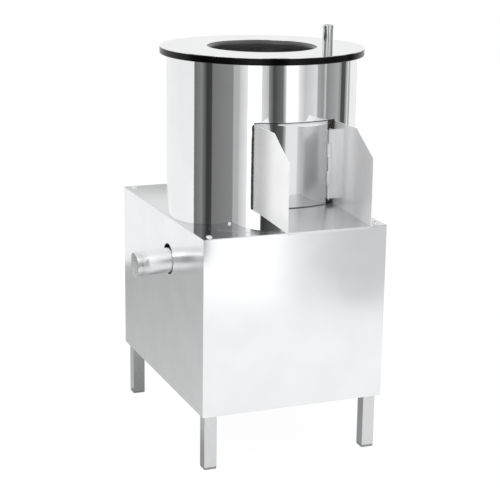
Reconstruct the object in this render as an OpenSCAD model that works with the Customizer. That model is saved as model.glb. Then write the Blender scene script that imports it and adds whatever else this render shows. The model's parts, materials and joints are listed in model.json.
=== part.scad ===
/* [Casing] */
// Width of the casing across its front
casing_w = 380; // [376:2:440]
// Depth of the casing from front to back
casing_d = 500; // [450:5:600]
// Height of the casing's panels
casing_h = 352; // [346:2:420]
// Height of the panels' lower edge above the floor
leg_clear = 112; // [80:2:200]
// Thickness of the panel sheet
sheet_t = 1.2; // [0.8:0.1:2]
// Thickness of the top plate
top_t = 1.5; // [1:0.1:3]
// Diameter of the dome screws' heads
dome_d = 13; // [10:0.5:15]
// Height of the dome screws' heads
dome_h = 4; // [3:0.5:6]
// Distance of the corner screws from the top plate's edges
screw_edge = 17.5; // [15:0.5:19]

/* [Frame] */
// Width of the square leg and rail tube
leg_w = 25.4; // [22:0.2:28]
// Wall of the square tube
leg_wall = 1.6; // [1.2:0.1:2.5]
// Gap from a side panel's outer face to the legs
leg_side_inset = 7.5; // [6:0.5:10]
// Gap from the front and back panels' outer faces to the legs
leg_end_inset = 9.5; // [8:0.5:11]
// Depth of the threaded hole in each foot plug
foot_hole_depth = 15; // [10:1:18]
// Tapping radius of the foot plugs' threaded holes
foot_hole_r = 4.25; // [3:0.05:5]
// Height of the foot pads under the legs
foot_h = 4; // [3:0.5:8]
// Height of the lower rails above the panels' lower edge
rail_lift = 35; // [33:1:45]

/* [Drum] */
// Outer diameter of the drum
drum_d = 374; // [360:2:374]
// Wall of the drum
drum_wall = 1.5; // [1.2:0.1:2.5]
// Height of the drum above the top plate
drum_h = 318; // [300:2:360]
// Gap between the drum's front and the casing's front edge
drum_front_gap = 5; // [4:1:12]
// Thickness of the abrasive lining
lining_t = 4; // [3:0.5:5]
// Height of the outlet's sill above the top plate
sill_h = 46; // [44:1:54]
// Height of the outlet in the drum
outlet_h = 164; // [140:2:190]

/* [Chute] */
// Clear width between the cheeks
chute_w = 164; // [156:2:170]
// Reach of the chute past the casing's front
chute_reach = 143; // [110:1:180]
// Thickness of the cheeks and the floor
chute_t = 1.5; // [1:0.1:2.5]
// Fall of the floor from the drum to its front edge
chute_fall = 7.8; // [4:0.2:14]
// Height of the cheeks' top edge above the top plate
cheek_top = 207; // [196:1:214]
// Length of the corner cut from each cheek, along the top edge
cheek_cut_y = 70; // [30:1:90]
// Height of the corner cut from each cheek
cheek_cut_z = 43; // [20:1:70]
// Depth of the fold under the floor's front edge
floor_fold = 3; // [2:0.5:12]

/* [Door] */
// Gap around the door
door_gap = 1.5; // [1.2:0.1:3]
// Distance of the hinge pin from the right cheek
hinge_side = 12; // [10:0.5:14]
// Diameter of the hinge barrel
barrel_d = 6; // [5.5:0.25:7]
// Diameter of the hinge pin
hinge_pin_d = 3; // [2:0.25:4]
// Length of the hinge
hinge_h = 134; // [100:2:150]
// Number of knuckles on the hinge
knuckles = 5; // [3:2:9]
// Thickness of the hinge leaves
leaf_t = 1.6; // [1.2:0.1:2]
// Depth of the pull lip in front of the door
lip_depth = 24; // [10:1:24]
// Width of the pull lip
lip_w = 102; // [60:2:104]
// Diameter of the latch's turn knob
knob_d = 24; // [18:1:26]
// Length of the latch tongue from its spindle
tongue_l = 34; // [30:1:36]
// Gap between the drum's wall and the tongue
tongue_gap = 8; // [5:0.5:12]

/* [Lid] */
// Diameter of the lid's black rim
lid_d = 402; // [390:2:420]
// Thickness of the black lid board
board_t = 12.8; // [10:0.2:18]
// Thickness of the lid's steel top
lid_top_t = 1.2; // [0.8:0.1:2]
// Diameter of the feed hole
feed_d = 216; // [180:2:240]
// Radius of the board's round edge inside the feed hole
feed_edge_r = 7; // [2:0.5:8]
// Depth of the locating ring under the lid
locate_h = 18; // [10:1:24]
// Outer diameter of the water inlet pipe
inlet_d = 21.3; // [16:0.1:26.9]
// Bore of the water inlet pipe
inlet_bore = 16; // [10:0.5:20]
// Height of the water inlet above the lid
inlet_h = 35; // [25:1:60]
// Distance of the water inlet from the drum's axis
inlet_r = 153.5; // [145:0.5:155]

/* [Drain] */
// Outer diameter of the drain pipe
drain_d = 50; // [40:0.5:50.8]
// Wall of the drain pipe
drain_wall = 1.5; // [1.2:0.1:3]
// Reach of the drain pipe past the left panel
drain_out = 70; // [50:1:100]
// Depth of the drain's axis below the top plate
drain_drop = 90; // [88:1:92]
// Distance of the drain behind the drum's axis
drain_back = 13; // [0:1:20]
// Downward slope of the drain pipe in degrees
drain_slope = 3; // [1:0.5:5]
// Diameter of the drain's hole in the left panel
drain_hole_d = 62; // [60:1:68]
// Length of the drain's thread
drain_thread = 26; // [15:1:35]

/* [Peeling disc] */
// Gap between the disc's edge and the lining
disc_gap = 5; // [4:0.5:10]
// Thickness of the disc's plate
disc_t = 6; // [4:0.5:8]
// Height of the disc's top face under the sill
disc_under_sill = 14; // [12:1:16]
// Number of waves on the disc
waves = 3; // [2:1:4]
// Height of the waves above the disc
wave_h = 12; // [8:0.5:14]
// Radius of the waves' round backs
wave_r = 36; // [30:1:45]
// Height of the sweeper blades under the disc
sweeper_h = 34; // [20:1:38]

/* [Catch pan] */
// Radius of the pan's mouth in the top plate
pan_mouth_r = 150; // [146:1:150]
// Radius of the pan's floor
pan_floor_r = 118; // [105:1:122]
// Thickness of the pan's sheet
pan_t = 1.5; // [1.2:0.1:2]
// Height of the collar round the shaft
collar_h = 92; // [70:1:96]

/* [Drive] */
// Thickness of the drive deck
deck_t = 6; // [5:0.5:8]
// Height of the bearing housing
housing_h = 150; // [130:2:152]
// Diameter of the bearing housing's barrel
housing_d = 84; // [80:1:92]
// Diameter of the drive shaft in its bearings
shaft_d = 30; // [30:1:30]
// Outer diameter of the bearings
bearing_d = 62; // [62:1:62]
// Width of the bearings
bearing_w = 16; // [16:1:16]
// Gap between the motor's flange and the rear rail
motor_gap = 6; // [2:0.5:20]
// Pitch radius of the driven pulley
big_r = 100; // [80:1:104]
// Pitch radius of the motor pulley
small_r = 31.5; // [28:0.5:36]
// Top width of the belt
belt_w = 13; // [11:0.5:13]
// Thickness of the belt
belt_t = 8; // [7:0.5:9]
// Diameter of the motor's body
motor_d = 118; // [100:2:122]
// Height of the motor's finned body
motor_h = 116; // [112:2:150]
// Diameter of the motor's shaft
motor_shaft_d = 19; // [14:1:24]

/* [Controls] */
// Width of the starter box
starter_w = 74; // [66:1:90]
// Height of the starter box
starter_h = 122; // [110:1:150]
// Depth of the starter box
starter_t = 46; // [36:1:60]
// Diameter of the start and stop buttons
button_d = 24; // [18:1:28]
// Travel of the buttons
button_travel = 4; // [2:0.5:5]
// Distance of the starter box behind the casing's front edge
starter_back = 200; // [190:5:320]
// Depth of the starter box's middle below the top plate
starter_drop = 130; // [110:2:170]
// Bore of the cable gland
gland_bore = 9; // [6:0.5:12]

/* [Fits] */
// Clearance of a running fit, on the radius
run_fit = 0.05; // [0.02:0.01:0.08]
// Clearance between close curved faces
near_fit = 0.3; // [0.2:0.05:0.5]
// Clearance of a seated fit, on the radius
seat_fit = 0.03; // [0.02:0.01:0.05]

/* [Hidden] */
$fn = 96;
eps = 0.01;
half_w = casing_w / 2;
half_d = casing_d / 2;
top_z = leg_clear + casing_h;
plate_under = top_z - top_t;
rail_top = plate_under - sheet_t;
leg_x = half_w - leg_side_inset - leg_w / 2;
leg_y = half_d - leg_end_inset - leg_w / 2;
front_leg_y = -leg_y;
rear_leg_y = leg_y;
deck_z = leg_clear + rail_lift + leg_w;
deck_top = deck_z + deck_t;
plug_h = 18;
corner_screw_d = 6;
deck_bolt_d = 8;
deck_bolt_l = 16;
back_screw_d = 5;
back_screw_l = 16;
back_head_d = 9;
back_head_h = 3;
louvre_l = 90;
louvre_r = 6;
louvre_rows = 7;
louvre_pitch = 22;
louvre_up = 140;

drum_r = drum_d / 2;
drum_in = drum_r - drum_wall;
drum_y = -half_d + drum_front_gap + drum_r;
drum_top = top_z + drum_h;
lining_out = drum_in - 0.2;
lining_in = lining_out - lining_t;
foot_flange_r = pan_mouth_r + 10;
sill_z = top_z + sill_h;
outlet_top = sill_z + outlet_h;
half_chute = chute_w / 2;
chute_front = -half_d - chute_reach;
chute_back = drum_y - sqrt(pow(drum_r, 2) - pow(half_chute, 2));
mid_front = drum_y - drum_r;
fall_angle = atan(chute_fall / (mid_front - chute_front));
weld_gap = 0.05;

hinge_x = half_chute - hinge_side;
hinge_r = drum_r + barrel_d / 2 - 0.5;
hinge_y = drum_y - sqrt(pow(hinge_r, 2) - pow(hinge_x, 2));
door_left = -half_chute + door_gap;
door_right = hinge_x - barrel_d / 2 - 2.5;
door_low = sill_z + door_gap;
door_high = outlet_top - door_gap;
hinge_low = door_low + 10;
knuckle_h = hinge_h / knuckles;
knuckle_gap = 0.4;
lip_side = 4;
lip_x = door_right - lip_w / 2 - lip_side;
lip_drop = 1.5;
lip_z = door_high - lip_drop - chute_t;
latch_x = -62;
latch_z = door_low + (door_high - door_low) * 0.5;
latch_angle = asin(latch_x / drum_r);
spindle_r = 4;
tongue_w = 16;
tongue_t = 3;
tongue_out = drum_in - tongue_gap;

pan_rim_rise = 17;
collar_r = 22;
disc_r = lining_in - disc_gap;
disc_top = sill_z - disc_under_sill;
disc_low = disc_top - disc_t;
hub_r = 38;
hub_h = 62;
skirt_r = 31;
housing_top = deck_top + housing_h;
seal_h = 10;
seal_r = 26;
bearing_low = deck_top;
bearing_high = housing_top - seal_h - bearing_w;
shoulder_r = shaft_d / 2 + 4;
nose_d = shaft_d - 5;
hub_d = shaft_d - 2;
thread_d = 20;
belt_z = deck_z - 28;
pulley_w = belt_w + 7;
pulley_hub_h = 36;
pulley_boss_h = 6;
motor_flange_r = motor_d / 2 + 3;
motor_bolt_r = motor_flange_r - 12;
motor_bolt_d = 8;
motor_flange_t = 10;
motor_y = rear_leg_y - leg_w / 2 - motor_gap - motor_flange_r;
belt_c = motor_y - drum_y;
belt_lean = asin((big_r - small_r) / belt_c);
cover_h = 20;
cowl_h = 32;
cowl_lap = 8;
fin_h = 6;
fan_clear = 6;
motor_core_r = motor_d / 2 - fin_h;
term_up = 18;
term_h = 84;
term_w = 64;
term_depth = 34;
term_lid_t = 4;
housing_bolt_r = housing_d / 2 + 12;
housing_bolt_d = 10;
housing_flange_t = 12;
belt_travel = 10;
deck_front = drum_y - 92;
deck_back = rear_leg_y - leg_w / 2 - 1;
deck_half_w = half_w - leg_side_inset - 3;
drum_bolt_r = foot_flange_r + 12;
drum_bolt_d = 6;
thread_over = 3;

lid_r = lid_d / 2;
board_z = drum_top;
lid_top = board_z + board_t + lid_top_t;
feed_r = feed_d / 2;
locate_r = drum_in - 8;
locknut_r = (inlet_d / 2 + 2.75) / cos(30);
locate_flange_r = inlet_r + locknut_r + 1.5;
board_edge_r = 1.5;
inlet_angle = 8;
inlet_x = inlet_r * cos(inlet_angle);
inlet_y = drum_y + inlet_r * sin(inlet_angle);

drain_y = drum_y + drain_back;
drain_z = top_z - drain_drop;
drain_hole_up = 2.5;
pan_floor_z = drain_z + tan(drain_slope) * (half_w - pan_floor_r) - drain_d / 2 - 1;
pan_wall_lean = (pan_mouth_r - pan_floor_r) / (plate_under - pan_floor_z);
drain_in_x = -(pan_floor_r + pan_wall_lean * (drain_z - pan_floor_z)) + 8;

starter_y = -half_d + starter_back;
starter_z = top_z - starter_drop;
start_z = starter_z + starter_h * 0.22;
stop_z = starter_z - starter_h * 0.22;
button_r = button_d / 2;
box_wall = 2.5;
box_corner_r = 8;
boss_h = 3;
boss_w = 5;
lead_hole_d = 20;
gland_wall = 3.5;
gland_side = 60;
gland_up = 90;
gland_x = half_w - gland_side;
gland_z = leg_clear + gland_up;
gland_hole_d = gland_bore + 2 * gland_wall;

steel = [0.80, 0.81, 0.82];
dull_steel = [0.62, 0.63, 0.65];
black = [0.05, 0.05, 0.05];
grit = [0.30, 0.28, 0.26];
cast = [0.42, 0.45, 0.48];
motor_blue = [0.35, 0.42, 0.50];

// A plain ring standing on z = 0
module ring(r_out, r_in, h) {
  difference() {
    cylinder(r = r_out, h = h);
    translate([0, 0, -1])
      cylinder(r = r_in, h = h + 2);
  }
}

// A box given by its low and high corners
module block(low, high) {
  translate(low)
    cube(high - low);
}

// A square tube of the given length, standing on z = 0 and centred on the axis
module square_tube(length) {
  core = leg_w - 2 * leg_wall;
  difference() {
    translate([-leg_w / 2, -leg_w / 2, 0])
      cube([leg_w, leg_w, length]);
    translate([-core / 2, -core / 2, -1])
      cube([core, core, length + 2]);
  }
}

// A flat shape with four round corners, centred
module round_rect(w, h, r) {
  square([w - 2 * r, h], center = true);
  square([w, h - 2 * r], center = true);
  for (sx = [-1, 1], sy = [-1, 1])
    translate([sx * (w / 2 - r), sy * (h / 2 - r)])
      circle(r = r);
}

// A screw with a domed head, its head's underside at z = 0 and its shank below
module dome_screw(head_d, head_h, shank_d, shank_h) {
  dome_r = (pow(head_d / 2, 2) + pow(head_h, 2)) / (2 * head_h);
  intersection() {
    translate([0, 0, head_h - dome_r])
      sphere(r = dome_r);
    cylinder(r = head_d, h = head_h + 1);
  }
  translate([0, 0, -shank_h])
    cylinder(d = shank_d, h = shank_h + 0.2);
}

// Proportions of hexagon heads and nuts for a thread of diameter d
function hex_corners(d) = 1.65 * d / cos(30);
function head_height(d) = 0.65 * d;
function nut_height(d) = 0.8 * d;

// A hexagon bolt, its head's underside at z = 0 and its shank below
module hex_bolt(d, shank_h) {
  cylinder(d = hex_corners(d), h = head_height(d), $fn = 6);
  translate([0, 0, -shank_h])
    cylinder(d = d, h = shank_h + 0.2);
}

// A hexagon nut with its upper face at z = 0
module hex_nut(d) {
  translate([0, 0, -nut_height(d)])
    cylinder(d = hex_corners(d), h = nut_height(d), $fn = 6);
}

// Everything given, on the drum's axis
module on_drum() {
  translate([0, drum_y, 0])
    children();
}

// The four corner positions of the legs
module at_legs(z) {
  for (x = [-leg_x, leg_x], y = [front_leg_y, rear_leg_y])
    translate([x, y, z])
      children();
}

// The four corner positions of the top plate's screws
module at_corner_screws(z) {
  for (x = [-1, 1], y = [-1, 1])
    translate([x * (half_w - screw_edge), y * (half_d - screw_edge), z])
      children();
}

module leg(x, y) {
  translate([x, y, foot_h])
    square_tube(rail_top - foot_h);
}

module leg_front_left() {
  color(steel) leg(-leg_x, front_leg_y);
}

module leg_front_right() {
  color(steel) leg(leg_x, front_leg_y);
}

// A rear leg has holes for the back panel's screws
module rear_leg(x) {
  color(steel)
    difference() {
      leg(x, rear_leg_y);
      at_back_screws()
        translate([0, 0, -back_screw_l - 2])
          cylinder(d = back_screw_d, h = back_screw_l + 4);
    }
}

module leg_rear_left() {
  rear_leg(-leg_x);
}

module leg_rear_right() {
  rear_leg(leg_x);
}

// Plastic plugs that close the legs and stand on the floor
module foot_plugs() {
  core = leg_w - 2 * leg_wall - 2 * seat_fit;
  corner_cut = 2;
  color(black)
    at_legs(0)
      difference() {
        union() {
          translate([-leg_w / 2, -leg_w / 2, 0])
            cube([leg_w, leg_w, foot_h]);
          translate([-core / 2, -core / 2, foot_h - eps])
            cube([core, core, plug_h]);
        }
        for (a = [0:90:270])
          rotate(a)
            translate([leg_w / 2, leg_w / 2, 0])
              rotate(45)
                cube([corner_cut, 4 * corner_cut, 2 * foot_h - eps], center = true);
        translate([0, 0, -1])
          cylinder(r = foot_hole_r, h = foot_hole_depth + 1);
      }
}

// Threaded plugs in the tops of the legs, which take the corner screws
module leg_top_plugs() {
  core = leg_w - 2 * leg_wall - 2 * seat_fit;
  color(dull_steel)
    difference() {
      at_legs(rail_top - plug_h)
        translate([-core / 2, -core / 2, 0])
          cube([core, core, plug_h]);
      at_corner_screws(rail_top - plug_h - 1)
        cylinder(d = corner_screw_d + 2 * seat_fit, h = plug_h + 2);
    }
}

// Four rails between the legs, with their top faces at z
module rail_ring(z) {
  side_l = rear_leg_y - front_leg_y - leg_w;
  cross_l = 2 * leg_x - leg_w;
  for (x = [-leg_x, leg_x])
    translate([x, front_leg_y + leg_w / 2, z - leg_w / 2])
      rotate([-90, 0, 0])
        square_tube(side_l);
  for (y = [front_leg_y, rear_leg_y])
    translate([-cross_l / 2, y, z - leg_w / 2])
      rotate([0, 90, 0])
        square_tube(cross_l);
}

module upper_rails() {
  color(steel) rail_ring(rail_top);
}

module lower_rails() {
  color(steel)
    difference() {
      rail_ring(deck_z);
      at_deck_bolts(deck_z - leg_w / 2)
        cylinder(d = deck_bolt_d + 2 * seat_fit, h = leg_w);
    }
}

// A panel's face with a flange turned in along its top and bottom, facing -Y at y = 0
module folded_panel(w, top_fold, low_fold) {
  fold_w = w - 2 * sheet_t - 2 * weld_gap;
  block([-w / 2, 0, leg_clear], [w / 2, sheet_t, plate_under]);
  block([-fold_w / 2, 0, rail_top], [fold_w / 2, top_fold, plate_under]);
  block([-fold_w / 2, 0, leg_clear], [fold_w / 2, low_fold, leg_clear + sheet_t]);
}

module front_panel() {
  top_fold = leg_end_inset + leg_w * 0.75;
  color(steel)
    difference() {
      translate([0, -half_d, 0])
        folded_panel(casing_w, top_fold, leg_end_inset);
      at_corner_screws(rail_top - 1)
        cylinder(d = corner_screw_d + 1, h = 10);
    }
}

module back_panel() {
  top_fold = leg_end_inset + leg_w * 0.75;
  color(steel) {
    difference() {
      translate([0, half_d, 0])
        rotate(180)
          folded_panel(casing_w, top_fold, leg_end_inset);
      at_corner_screws(rail_top - 1)
        cylinder(d = corner_screw_d + 1, h = 10);
      at_back_screws()
        translate([0, 0, -20])
          cylinder(d = back_screw_d + 0.5, h = 40);
      at_louvres()
        block([-louvre_l / 2 + 1, -5, -louvre_r + 1], [louvre_l / 2 - 1, 5, -1]);
      translate([gland_x, half_d, gland_z])
        rotate([90, 0, 0])
          cylinder(d = gland_hole_d, h = 20, center = true);
    }
    at_louvres()
      intersection() {
        difference() {
          rotate([0, 90, 0])
            cylinder(r = louvre_r, h = louvre_l, center = true);
          rotate([0, 90, 0])
            cylinder(r = louvre_r - sheet_t, h = louvre_l - 2 * sheet_t, center = true);
        }
        block([-louvre_l, -eps, -louvre_r - 1], [louvre_l, louvre_r + 1, eps]);
      }
  }
}

// Two columns of louvres on the back panel's outer face
module at_louvres() {
  for (x = [-louvre_l * 0.7, louvre_l * 0.7], row = [0:louvre_rows - 1])
    translate([x, half_d, leg_clear + louvre_up + row * louvre_pitch])
      children();
}

// The back panel's screws, along its two upright edges
module at_back_screws() {
  for (x = [-leg_x, leg_x], share = [0.12, 0.5, 0.88])
    translate([x, half_d, leg_clear + casing_h * share])
      rotate([-90, 0, 0])
        children();
}

module back_panel_screws() {
  color(steel)
    at_back_screws()
      dome_screw(back_head_d, back_head_h, back_screw_d - 2 * seat_fit, back_screw_l);
}

// A side panel's sheet with its flanges, facing -X at x = -half_w
module side_sheet() {
  y0 = -half_d + sheet_t;
  y1 = half_d - sheet_t;
  fold = leg_side_inset + leg_w * 0.75;
  flange_y0 = -half_d + leg_end_inset + leg_w * 0.75 + 1;
  flange_y1 = half_d - leg_end_inset - leg_w * 0.75 - 1;
  block([-half_w, y0, leg_clear], [-half_w + sheet_t, y1, plate_under]);
  block([-half_w, flange_y0, rail_top], [-half_w + fold, flange_y1, plate_under]);
  block([-half_w, -half_d + leg_end_inset, leg_clear],
        [-half_w + leg_side_inset, half_d - leg_end_inset, leg_clear + sheet_t]);
}

module left_panel() {
  color(steel)
    difference() {
      side_sheet();
      translate([-half_w, drain_y, drain_z + drain_hole_up])
        rotate([0, 90, 0])
          cylinder(d = drain_hole_d, h = 20, center = true);
    }
}

module right_panel() {
  color(steel)
    difference() {
      mirror([1, 0, 0])
        side_sheet();
      translate([half_w, starter_y, starter_z])
        rotate([0, 90, 0])
          cylinder(d = lead_hole_d, h = 20, center = true);
    }
}

module top_plate() {
  color(steel)
    difference() {
      block([-half_w, -half_d, plate_under], [half_w, half_d, top_z]);
      on_drum()
        translate([0, 0, plate_under - 1])
          cylinder(r = pan_mouth_r + weld_gap, h = 10);
      at_corner_screws(plate_under - 1)
        cylinder(d = corner_screw_d + 1, h = 10);
      at_drum_bolts(plate_under - 1)
        cylinder(d = drum_bolt_d + 2 * near_fit, h = 10);
    }
}

module top_plate_screws() {
  color(steel)
    at_corner_screws(top_z)
      dome_screw(dome_d, dome_h, corner_screw_d, plug_h);
}

// The four bolts that hold the drum to the top plate
module at_drum_bolts(z) {
  on_drum()
    for (a = [45:90:315])
      rotate(a)
        translate([drum_bolt_r, 0, z])
          children();
}

// The outlet's space in the drum's front, wide to each side of the axis by half_open
module outlet_space(half_open, z0, z1) {
  block([-half_open, -half_d - 60, z0], [half_open, drum_y - drum_r / 2, z1]);
}

module drum_shell() {
  color(steel)
    difference() {
      on_drum()
        rotate_extrude($fn = 128)
          polygon([
            [foot_flange_r, top_z],
            [drum_r, top_z],
            [drum_r, drum_top],
            [drum_r - 6, drum_top],
            [drum_r - 6, drum_top - drum_wall],
            [drum_in, drum_top - drum_wall],
            [drum_in, top_z + drum_wall],
            [foot_flange_r, top_z + drum_wall]
          ]);
      outlet_space(half_chute, sill_z, outlet_top);
      at_drum_bolts(top_z - 1)
        cylinder(d = drum_bolt_d + 2 * near_fit, h = 10);
    }
}

module drum_bolts() {
  color(dull_steel)
    at_drum_bolts(top_z + drum_wall) {
      hex_bolt(drum_bolt_d, drum_wall + top_t + nut_height(drum_bolt_d) + thread_over);
      translate([0, 0, -drum_wall - top_t])
        hex_nut(drum_bolt_d);
    }
}

module drum_lining() {
  low = sill_z - 24;
  high = drum_top - drum_wall - locate_h - 4;
  notch_l = tongue_l - latch_x + 6;
  notch_h = tongue_l + 4;
  color(grit)
    difference() {
      on_drum()
        translate([0, 0, low])
          ring(lining_out, lining_in, high - low);
      outlet_space(half_chute + 1, sill_z - 2, outlet_top + 2);
      block([-notch_l, -half_d - 60, latch_z - notch_h],
            [-half_chute, drum_y - drum_r / 2, latch_z + notch_h]);
    }
}

// The pan that gathers water and peel, turned about the drum's axis
module pan_body() {
  rim_r = drum_in - 0.3;
  rim_z = top_z + drum_wall + pan_rim_rise;
  low = pan_floor_z - pan_t;
  rotate_extrude($fn = 128)
    polygon([
      [rim_r, rim_z],
      [pan_mouth_r - pan_t, top_z + drum_wall + pan_t],
      [pan_mouth_r - pan_t, plate_under],
      [pan_floor_r, pan_floor_z],
      [collar_r + pan_t, pan_floor_z],
      [collar_r + pan_t, pan_floor_z + collar_h],
      [collar_r, pan_floor_z + collar_h],
      [collar_r, low],
      [pan_floor_r + pan_t / 2, low],
      [pan_mouth_r, plate_under],
      [pan_mouth_r, top_z + drum_wall],
      [rim_r, rim_z - pan_t]
    ]);
}

// The drain's axis, with z along the pipe towards its open end, from the panel's plane
module on_drain() {
  translate([-half_w, drain_y, drain_z])
    rotate([0, -90 - drain_slope, 0])
      children();
}

module catch_pan() {
  back = half_w + drain_in_x;
  over = drain_d * 0.4;
  color(steel)
    difference() {
      on_drum()
        pan_body();
      on_drain()
        translate([0, 0, -back - over])
          cylinder(r = drain_d / 2 + weld_gap, h = back + 2 * over);
    }
}

module drain_pipe() {
  back = half_w + drain_in_x;
  groove_pitch = 2.4;
  groove_depth = 0.7;
  turns = floor((drain_thread - 3) / groove_pitch);
  color(steel)
    on_drain()
      translate([0, 0, -back])
        difference() {
          cylinder(d = drain_d, h = back + drain_out);
          translate([0, 0, -1])
            cylinder(d = drain_d - 2 * drain_wall, h = back + drain_out + 2);
          for (i = [0:turns - 1])
            translate([0, 0, back + drain_out - 2.5 - i * groove_pitch])
              rotate_extrude($fn = 96)
                polygon([
                  [drain_d / 2 - groove_depth, 0],
                  [drain_d / 2 + 1, -groove_pitch * 0.42],
                  [drain_d / 2 + 1, groove_pitch * 0.42]
                ]);
        }
}

// The four bolts that hold the deck to the lower side rails
module at_deck_bolts(z) {
  for (x = [-leg_x, leg_x], y = [deck_front + 22, deck_back - 22])
    translate([x, y, z])
      children();
}

// A plain slot along Y, with round ends
module slot(r, travel, h) {
  for (y = [-travel / 2, travel / 2])
    translate([0, y, 0])
      cylinder(r = r, h = h);
  translate([-r, -travel / 2, 0])
    cube([2 * r, travel, h]);
}

module at_motor_bolts(z) {
  for (a = [45:90:315])
    translate([motor_bolt_r * cos(a), motor_y + motor_bolt_r * sin(a), z])
      children();
}

module at_housing_bolts(z) {
  on_drum()
    for (a = [45:90:315])
      translate([housing_bolt_r * cos(a), housing_bolt_r * sin(a), z])
        children();
}

module drive_deck() {
  color(dull_steel)
    difference() {
      block([-deck_half_w, deck_front, deck_z], [deck_half_w, deck_back, deck_top]);
      on_drum()
        translate([0, 0, deck_z - 1])
          cylinder(r = shoulder_r + 4, h = deck_t + 2);
      translate([0, motor_y, deck_z - 1])
        slot(motor_shaft_d / 2 + 6, belt_travel, deck_t + 2);
      at_motor_bolts(deck_z - 1)
        slot(motor_bolt_d / 2 + 0.5, belt_travel, deck_t + 2);
      at_housing_bolts(deck_z - 1)
        cylinder(d = housing_bolt_d + 2 * near_fit, h = deck_t + 2);
      at_deck_bolts(deck_z - 1)
        cylinder(d = deck_bolt_d + 2 * near_fit, h = deck_t + 2);
    }
}

module deck_bolts() {
  color(dull_steel)
    at_deck_bolts(deck_top)
      hex_bolt(deck_bolt_d, deck_bolt_l);
}

module bearing_housing() {
  seat_r = bearing_d / 2 + seat_fit;
  rib_h = 60;
  rib_t = 8;
  rib_in = housing_d / 2 - 20;
  color(cast)
    difference() {
      on_drum()
        translate([0, 0, deck_top]) {
          cylinder(r = housing_bolt_r + 13, h = housing_flange_t);
          cylinder(d = housing_d, h = housing_h);
          for (a = [0:90:270])
            rotate(a)
              translate([0, rib_t / 2, housing_flange_t - eps])
                rotate([90, 0, 0])
                  linear_extrude(rib_t)
                    polygon([
                      [rib_in, 0],
                      [housing_bolt_r + 8, 0],
                      [housing_d / 2 - 2, rib_h],
                      [rib_in, rib_h]
                    ]);
        }
      on_drum()
        translate([0, 0, deck_top - 1])
          cylinder(r = seat_r, h = bearing_low + bearing_w - deck_top + 1);
      on_drum()
        translate([0, 0, deck_top])
          cylinder(r = bearing_d / 2 - 4, h = housing_h);
      on_drum()
        translate([0, 0, bearing_high])
          cylinder(r = seat_r, h = housing_top - bearing_high + 1);
      at_housing_bolts(deck_top - 1)
        cylinder(d = housing_bolt_d + 2 * near_fit, h = housing_flange_t + 2);
    }
}

module housing_bolts() {
  color(dull_steel)
    at_housing_bolts(deck_top + housing_flange_t) {
      grip = housing_flange_t + deck_t;
      hex_bolt(housing_bolt_d, grip + nut_height(housing_bolt_d) + thread_over);
      translate([0, 0, -grip])
        hex_nut(housing_bolt_d);
    }
}

// A shielded ball bearing: two rings, a recessed shield on each face and its balls
module bearing() {
  mid_r = (shaft_d + bearing_d) / 4;
  difference() {
    ring(bearing_d / 2, shaft_d / 2 + run_fit, bearing_w);
    for (z = [-eps, bearing_w - 1])
      translate([0, 0, z])
        ring(mid_r + 4.5, mid_r - 4.5, 1 + eps);
  }
}

module lower_bearing() {
  color(dull_steel)
    on_drum()
      translate([0, 0, bearing_low])
        bearing();
}

module upper_bearing() {
  color(dull_steel)
    on_drum()
      translate([0, 0, bearing_high])
        bearing();
}

module shaft_seal() {
  color(black)
    on_drum()
      translate([0, 0, housing_top - seal_h + eps])
        difference() {
          ring(bearing_d / 2, hub_d / 2 + run_fit, seal_h - eps);
          translate([0, 0, seal_h - 3])
            ring(bearing_d / 2 - 4, hub_d / 2 + 3, 5);
        }
}

// The drive shaft, turned in steps from the pulley's seat up to the disc's thread
module drive_shaft() {
  low = belt_z - pulley_hub_h / 2 - 4;
  nut_top = disc_top + 20;
  key_w = 8;
  color(steel)
    on_drum()
      difference() {
        rotate_extrude($fn = 96)
          polygon([
            [0, low],
            [nose_d / 2 - 1, low],
            [nose_d / 2, low + 1],
            [nose_d / 2, bearing_low - 6],
            [shaft_d / 2, bearing_low - 6],
            [shaft_d / 2, bearing_low + bearing_w + near_fit],
            [shoulder_r, bearing_low + bearing_w + near_fit],
            [shoulder_r, bearing_high - near_fit],
            [shaft_d / 2, bearing_high - near_fit],
            [shaft_d / 2, bearing_high + bearing_w - 0.5],
            [hub_d / 2, bearing_high + bearing_w - 0.5],
            [hub_d / 2, disc_low - 4],
            [thread_d / 2, disc_low - 4],
            [thread_d / 2, nut_top],
            [0, nut_top]
          ]);
        block([-key_w / 2, nose_d / 2 - 4, belt_z - pulley_hub_h / 2],
              [key_w / 2, nose_d, belt_z + pulley_hub_h / 2 - 4]);
      }
}

module pulley_key() {
  key_w = 8 - 2 * seat_fit;
  color(dull_steel)
    on_drum()
      block([-key_w / 2, nose_d / 2 - 4 + seat_fit, belt_z - pulley_hub_h / 2 + 0.5],
            [key_w / 2, nose_d / 2 + 3, belt_z + pulley_hub_h / 2 - 4.5]);
}

// The belt's wedge section at the given pitch radius, grown by g on each side
module belt_section(r, g) {
  half_top = belt_w / 2;
  half_low = half_top - belt_t * tan(19);
  out = r + belt_t * 0.35;
  polygon([
    [out - belt_t - g, -half_low - g],
    [out + g, -half_top - g],
    [out + g, half_top + g],
    [out - belt_t - g, half_low + g]
  ]);
}

// A grooved rim for the belt, centred on z = 0
module grooved_rim(r, inner_r) {
  rotate_extrude($fn = 128)
    difference() {
      translate([inner_r, -pulley_w / 2])
        square([r + 4 - inner_r, pulley_w]);
      belt_section(r, near_fit);
      translate([r + belt_t * 0.35, -belt_w / 2 - near_fit])
        square([10, belt_w + 2 * near_fit]);
    }
}

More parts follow.
